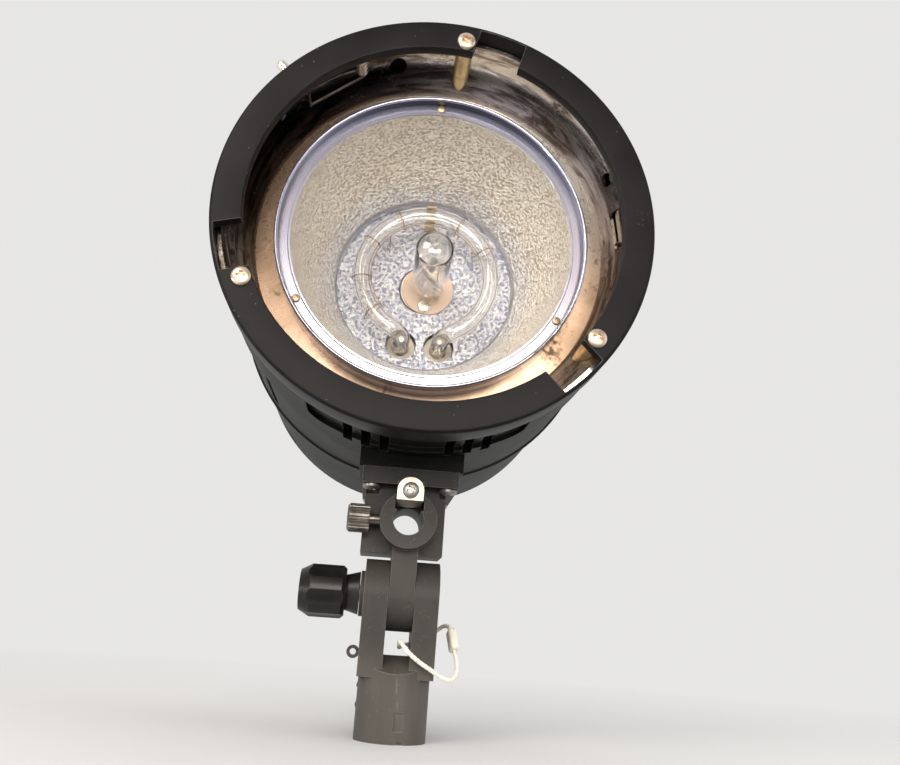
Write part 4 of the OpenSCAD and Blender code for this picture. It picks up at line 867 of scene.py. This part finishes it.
def addLamp():
    g = lamp
    r, top, low = g["radius"], -g["tip"], -g["base"]
    nipple = [(0.001, top), (0.6, top - 0.12), (1.0, top - 0.45), (1.35, top - g["nipple"])]
    dome = capHalf(r - 0.5, top - g["nipple"] + 0.06, g["dome"] - g["nipple"], 12, 3)
    turned = [(r - 0.16, dome[-1][1] - 0.22), (r, dome[-1][1] - 0.7)]
    foot = [(r, low + 2.4), (r * 0.94, low + 0.9), (r * 0.7, low), (0.001, low)]
    outside = [*nipple, *dome, *turned, *foot]
    hollow = r - g["wall"]
    cap = capHalf(hollow, top - g["nipple"] - 0.7, g["dome"] - g["nipple"], 12)
    cap[0] = (0.001, cap[0][1])
    inside = [*cap, (hollow, low + 3), (hollow * 0.8, low + 1.7), (0.001, low + 1.4)]
    outer = tidied(rawMesh("capsule", *lathe(outside, 72, False)))
    inner = tidied(rawMesh("hollow", *lathe(inside, 72, False)))
    inner.flip_normals()
    wide, thick, near, far = g["pinch"]
    pinch = roundedBox("pinch", wide, thick, -far, -near, g["round"], 4)
    glass = merged("capsule", [outer, inner, pinch])
    coil = []
    steps = g["turns"] * 16
    for i in range(steps + 1):
        a = 2 * math.pi * i / 16
        depth = g["coilTop"] + g["coilLong"] * i / steps
        coil.append((g["coil"] * math.cos(a), g["coil"] * math.sin(a), -depth))
    ends = (*g["longLead"], coil[0]), (*g["shortLead"], coil[-1])
    leads = [wire(line, g["lead"], 8) for line in ends]
    places = (-g["pins"], g["pins"])
    half, flat, near, far = g["foil"]
    foils = [prism(bar(x - half, x + half, flat), -far, -near) for x in places]
    pins = [wire([(x, 0, -g["pinTop"]), (x, 0, -g["pinEnd"])], g["pin"], 14) for x in places]
    metal = merged("filament", [wire(coil, g["thread"], 8), *leads, *foils, *pins])
    spin = Matrix.Rotation(math.radians(g["turn"]), 4, "Z")
    move = headTurn @ Matrix.Translation((*g["place"], 0)) @ spin
    capsule = placed(glass, move)
    finished("lampCapsule", capsule, "head", ["modelling_lamp"], "clear_glass", 40)
    finished("lampFilament", placed(metal, move), "head", (), "steel", 40)


addLamp()

print("dial marks")

dialMarks = {
    "centres": ((-34, 0), (34, 0)), "inner": 11.4, "outer": 13.6, "shorter": 0.8,
    "wide": 0.7, "proud": 0.12, "back": 214.5,
    "count": 11, "first": -60, "step": 30,  # the last two in degrees
}


def addDialMarks():
    g = dialMarks
    bars = []
    for cx, cy in g["centres"]:
        for i in range(g["count"]):
            a = math.radians(g["first"] + g["step"] * i)
            end = g["outer"] if i % 5 == 0 else g["outer"] - g["shorter"]
            mark = prism(bar(g["inner"], end, g["wide"] / 2), -g["proud"], 0)
            move = Matrix.Translation((cx, cy, -g["back"])) @ Matrix.Rotation(a, 4, "Z")
            bars.append(placed(mark, move))
    white = plainPlastic("whitePrint", (0.7, 0.7, 0.68), 0.5)
    marks = placed(merged("dialMarks", bars), headTurn)
    finished("dialMarks", marks, "head", (), "grey_plastic", 30, white)


addDialMarks()

print("floor and light")

studio = {
    "radius": 4,  # metres, as are the bands below
    "fade": (0.22, 0.62),  # from the floor's own shade to the backdrop's
    "patch": ((-0.04, -0.12), (-0.16, -0.05)),  # the dark part that the cup's wall mirrors
    "floor": (0.7, 0.695, 0.69),
    "back": (0.8, 0.795, 0.785),
    "dark": (0.02, 0.019, 0.018),
    "warm": (0.95, 0.74, 0.5),
    "silver": (0.86, 0.84, 0.8),
    "cool": (0.75, 0.77, 0.83),
}


def addFloor():
    bm = bmesh.new()
    bmesh.ops.create_circle(bm, cap_ends=True, segments=96, radius=studio["radius"])
    mesh = bpy.data.meshes.new("floor")
    bm.to_mesh(mesh)
    bm.free()
    made = linked("floor", mesh)
    f = Finish("paleFloor", Roughness=0.8, Specular_IOR_Level=0.2)
    deep = tuple(c * 0.98 for c in studio["floor"])
    f.put("Base Color", f.mix(f.noise(6, 3).ramp(0.3, 0.8), studio["floor"], deep))
    f.put("Normal", f.bump(f.noise(400, 2), 0.03))
    x, y, z = f.parts()
    far = ((x * x + y * y) ** 0.5).ramp(*studio["fade"])
    ahead, aside = studio["patch"]
    near = y.ramp(*ahead) * x.ramp(*aside)
    glow = f.node("ShaderNodeEmission", None, {"Color": studio["back"], "Strength": 1.0})
    dim = f.node("ShaderNodeEmission", None, {"Color": studio["dark"], "Strength": 1.0})
    both = f.node("ShaderNodeMixShader", None, {0: far, 1: Val(f, f.shader.outputs[0]), 2: glow})
    mirrored = f.node("ShaderNodeLightPath", out="Is Glossy Ray")
    both = f.node("ShaderNodeMixShader", None, {0: near * mirrored * (1 - far), 1: both, 2: dim})
    f.join(f.tree.nodes["Material Output"].inputs[0], both)
    mesh.materials.append(f.data)


def addWorld():
    f = Finish("studioWorld", world=True)
    bpy.context.scene.world = f.data
    x, y, z = f.parts(f.node("ShaderNodeTexCoord", out="Generated"))
    front = y.ramp(0.25, -0.1)
    flatX = x / (x * x + y * y) ** 0.5  # sine of the azimuth
    band = z.ramp(0.1, 0.17) * z.ramp(0.66, 0.5) * front * flatX.abs().ramp(0.5, 0.3)
    band = band * flatX.ramp(-0.32, 0.2, 0.3, 1)
    high = z.ramp(0.72, 0.9)
    side = x.abs().ramp(0.72, 0.95)
    tone = f.mix(front, studio["back"], studio["dark"])
    tone = f.mix(side * 0.4, tone, studio["cool"])
    tone = f.mix(high * 0.7, tone, studio["cool"])
    tone = f.mix(band * 0.9, tone, f.mix(z.ramp(0.4, 0.54), studio["warm"], studio["silver"]))
    mirrored = f.node("ShaderNodeLightPath", out="Is Glossy Ray")
    f.put("Color", f.mix(mirrored, studio["back"], tone))
    f.put("Strength", 1.0)


lamps = {  # millimetres, degrees and watts
    "key": {"at": (-420, -620, 560), "wide": 360, "high": 360, "spread": 180, "power": 3.3},
    "front": {"at": (0, -760, 240), "wide": 700, "high": 220, "spread": 70, "power": 0.9},
    "fill": {"at": (620, -260, 360), "wide": 460, "high": 460, "spread": 180, "power": 0.7},
    "low": {"at": (-520, -330, 60), "wide": 90, "high": 60, "spread": 60, "power": 0.06},
    "rim": {"at": (150, 650, 620), "wide": 500, "high": 500, "spread": 180, "power": 1.3},
}
lampTints = {
    "key": (1.0, 0.95, 0.87), "front": (1.0, 0.95, 0.88), "fill": (0.95, 0.96, 1.0),
    "low": (1.0, 0.96, 0.9), "rim": (1.0, 1.0, 1.0),
}


def addLamps():
    aim = Vector((0, 0, 0.14))
    for name, row in lamps.items():
        data = bpy.data.lights.new(name, "AREA")
        data.shape = "RECTANGLE"
        data.energy = row["power"]
        data.size, data.size_y = row["wide"] * mm, row["high"] * mm
        data.color = lampTints[name]
        data.spread = math.radians(row["spread"])
        made = linked(name, data)
        made.location = Vector(row["at"]) * mm
        made.rotation_euler = (aim - made.location).to_track_quat("-Z", "Y").to_euler()


addFloor()
addWorld()
addLamps()
bpy.context.scene.view_settings.view_transform = "Standard"
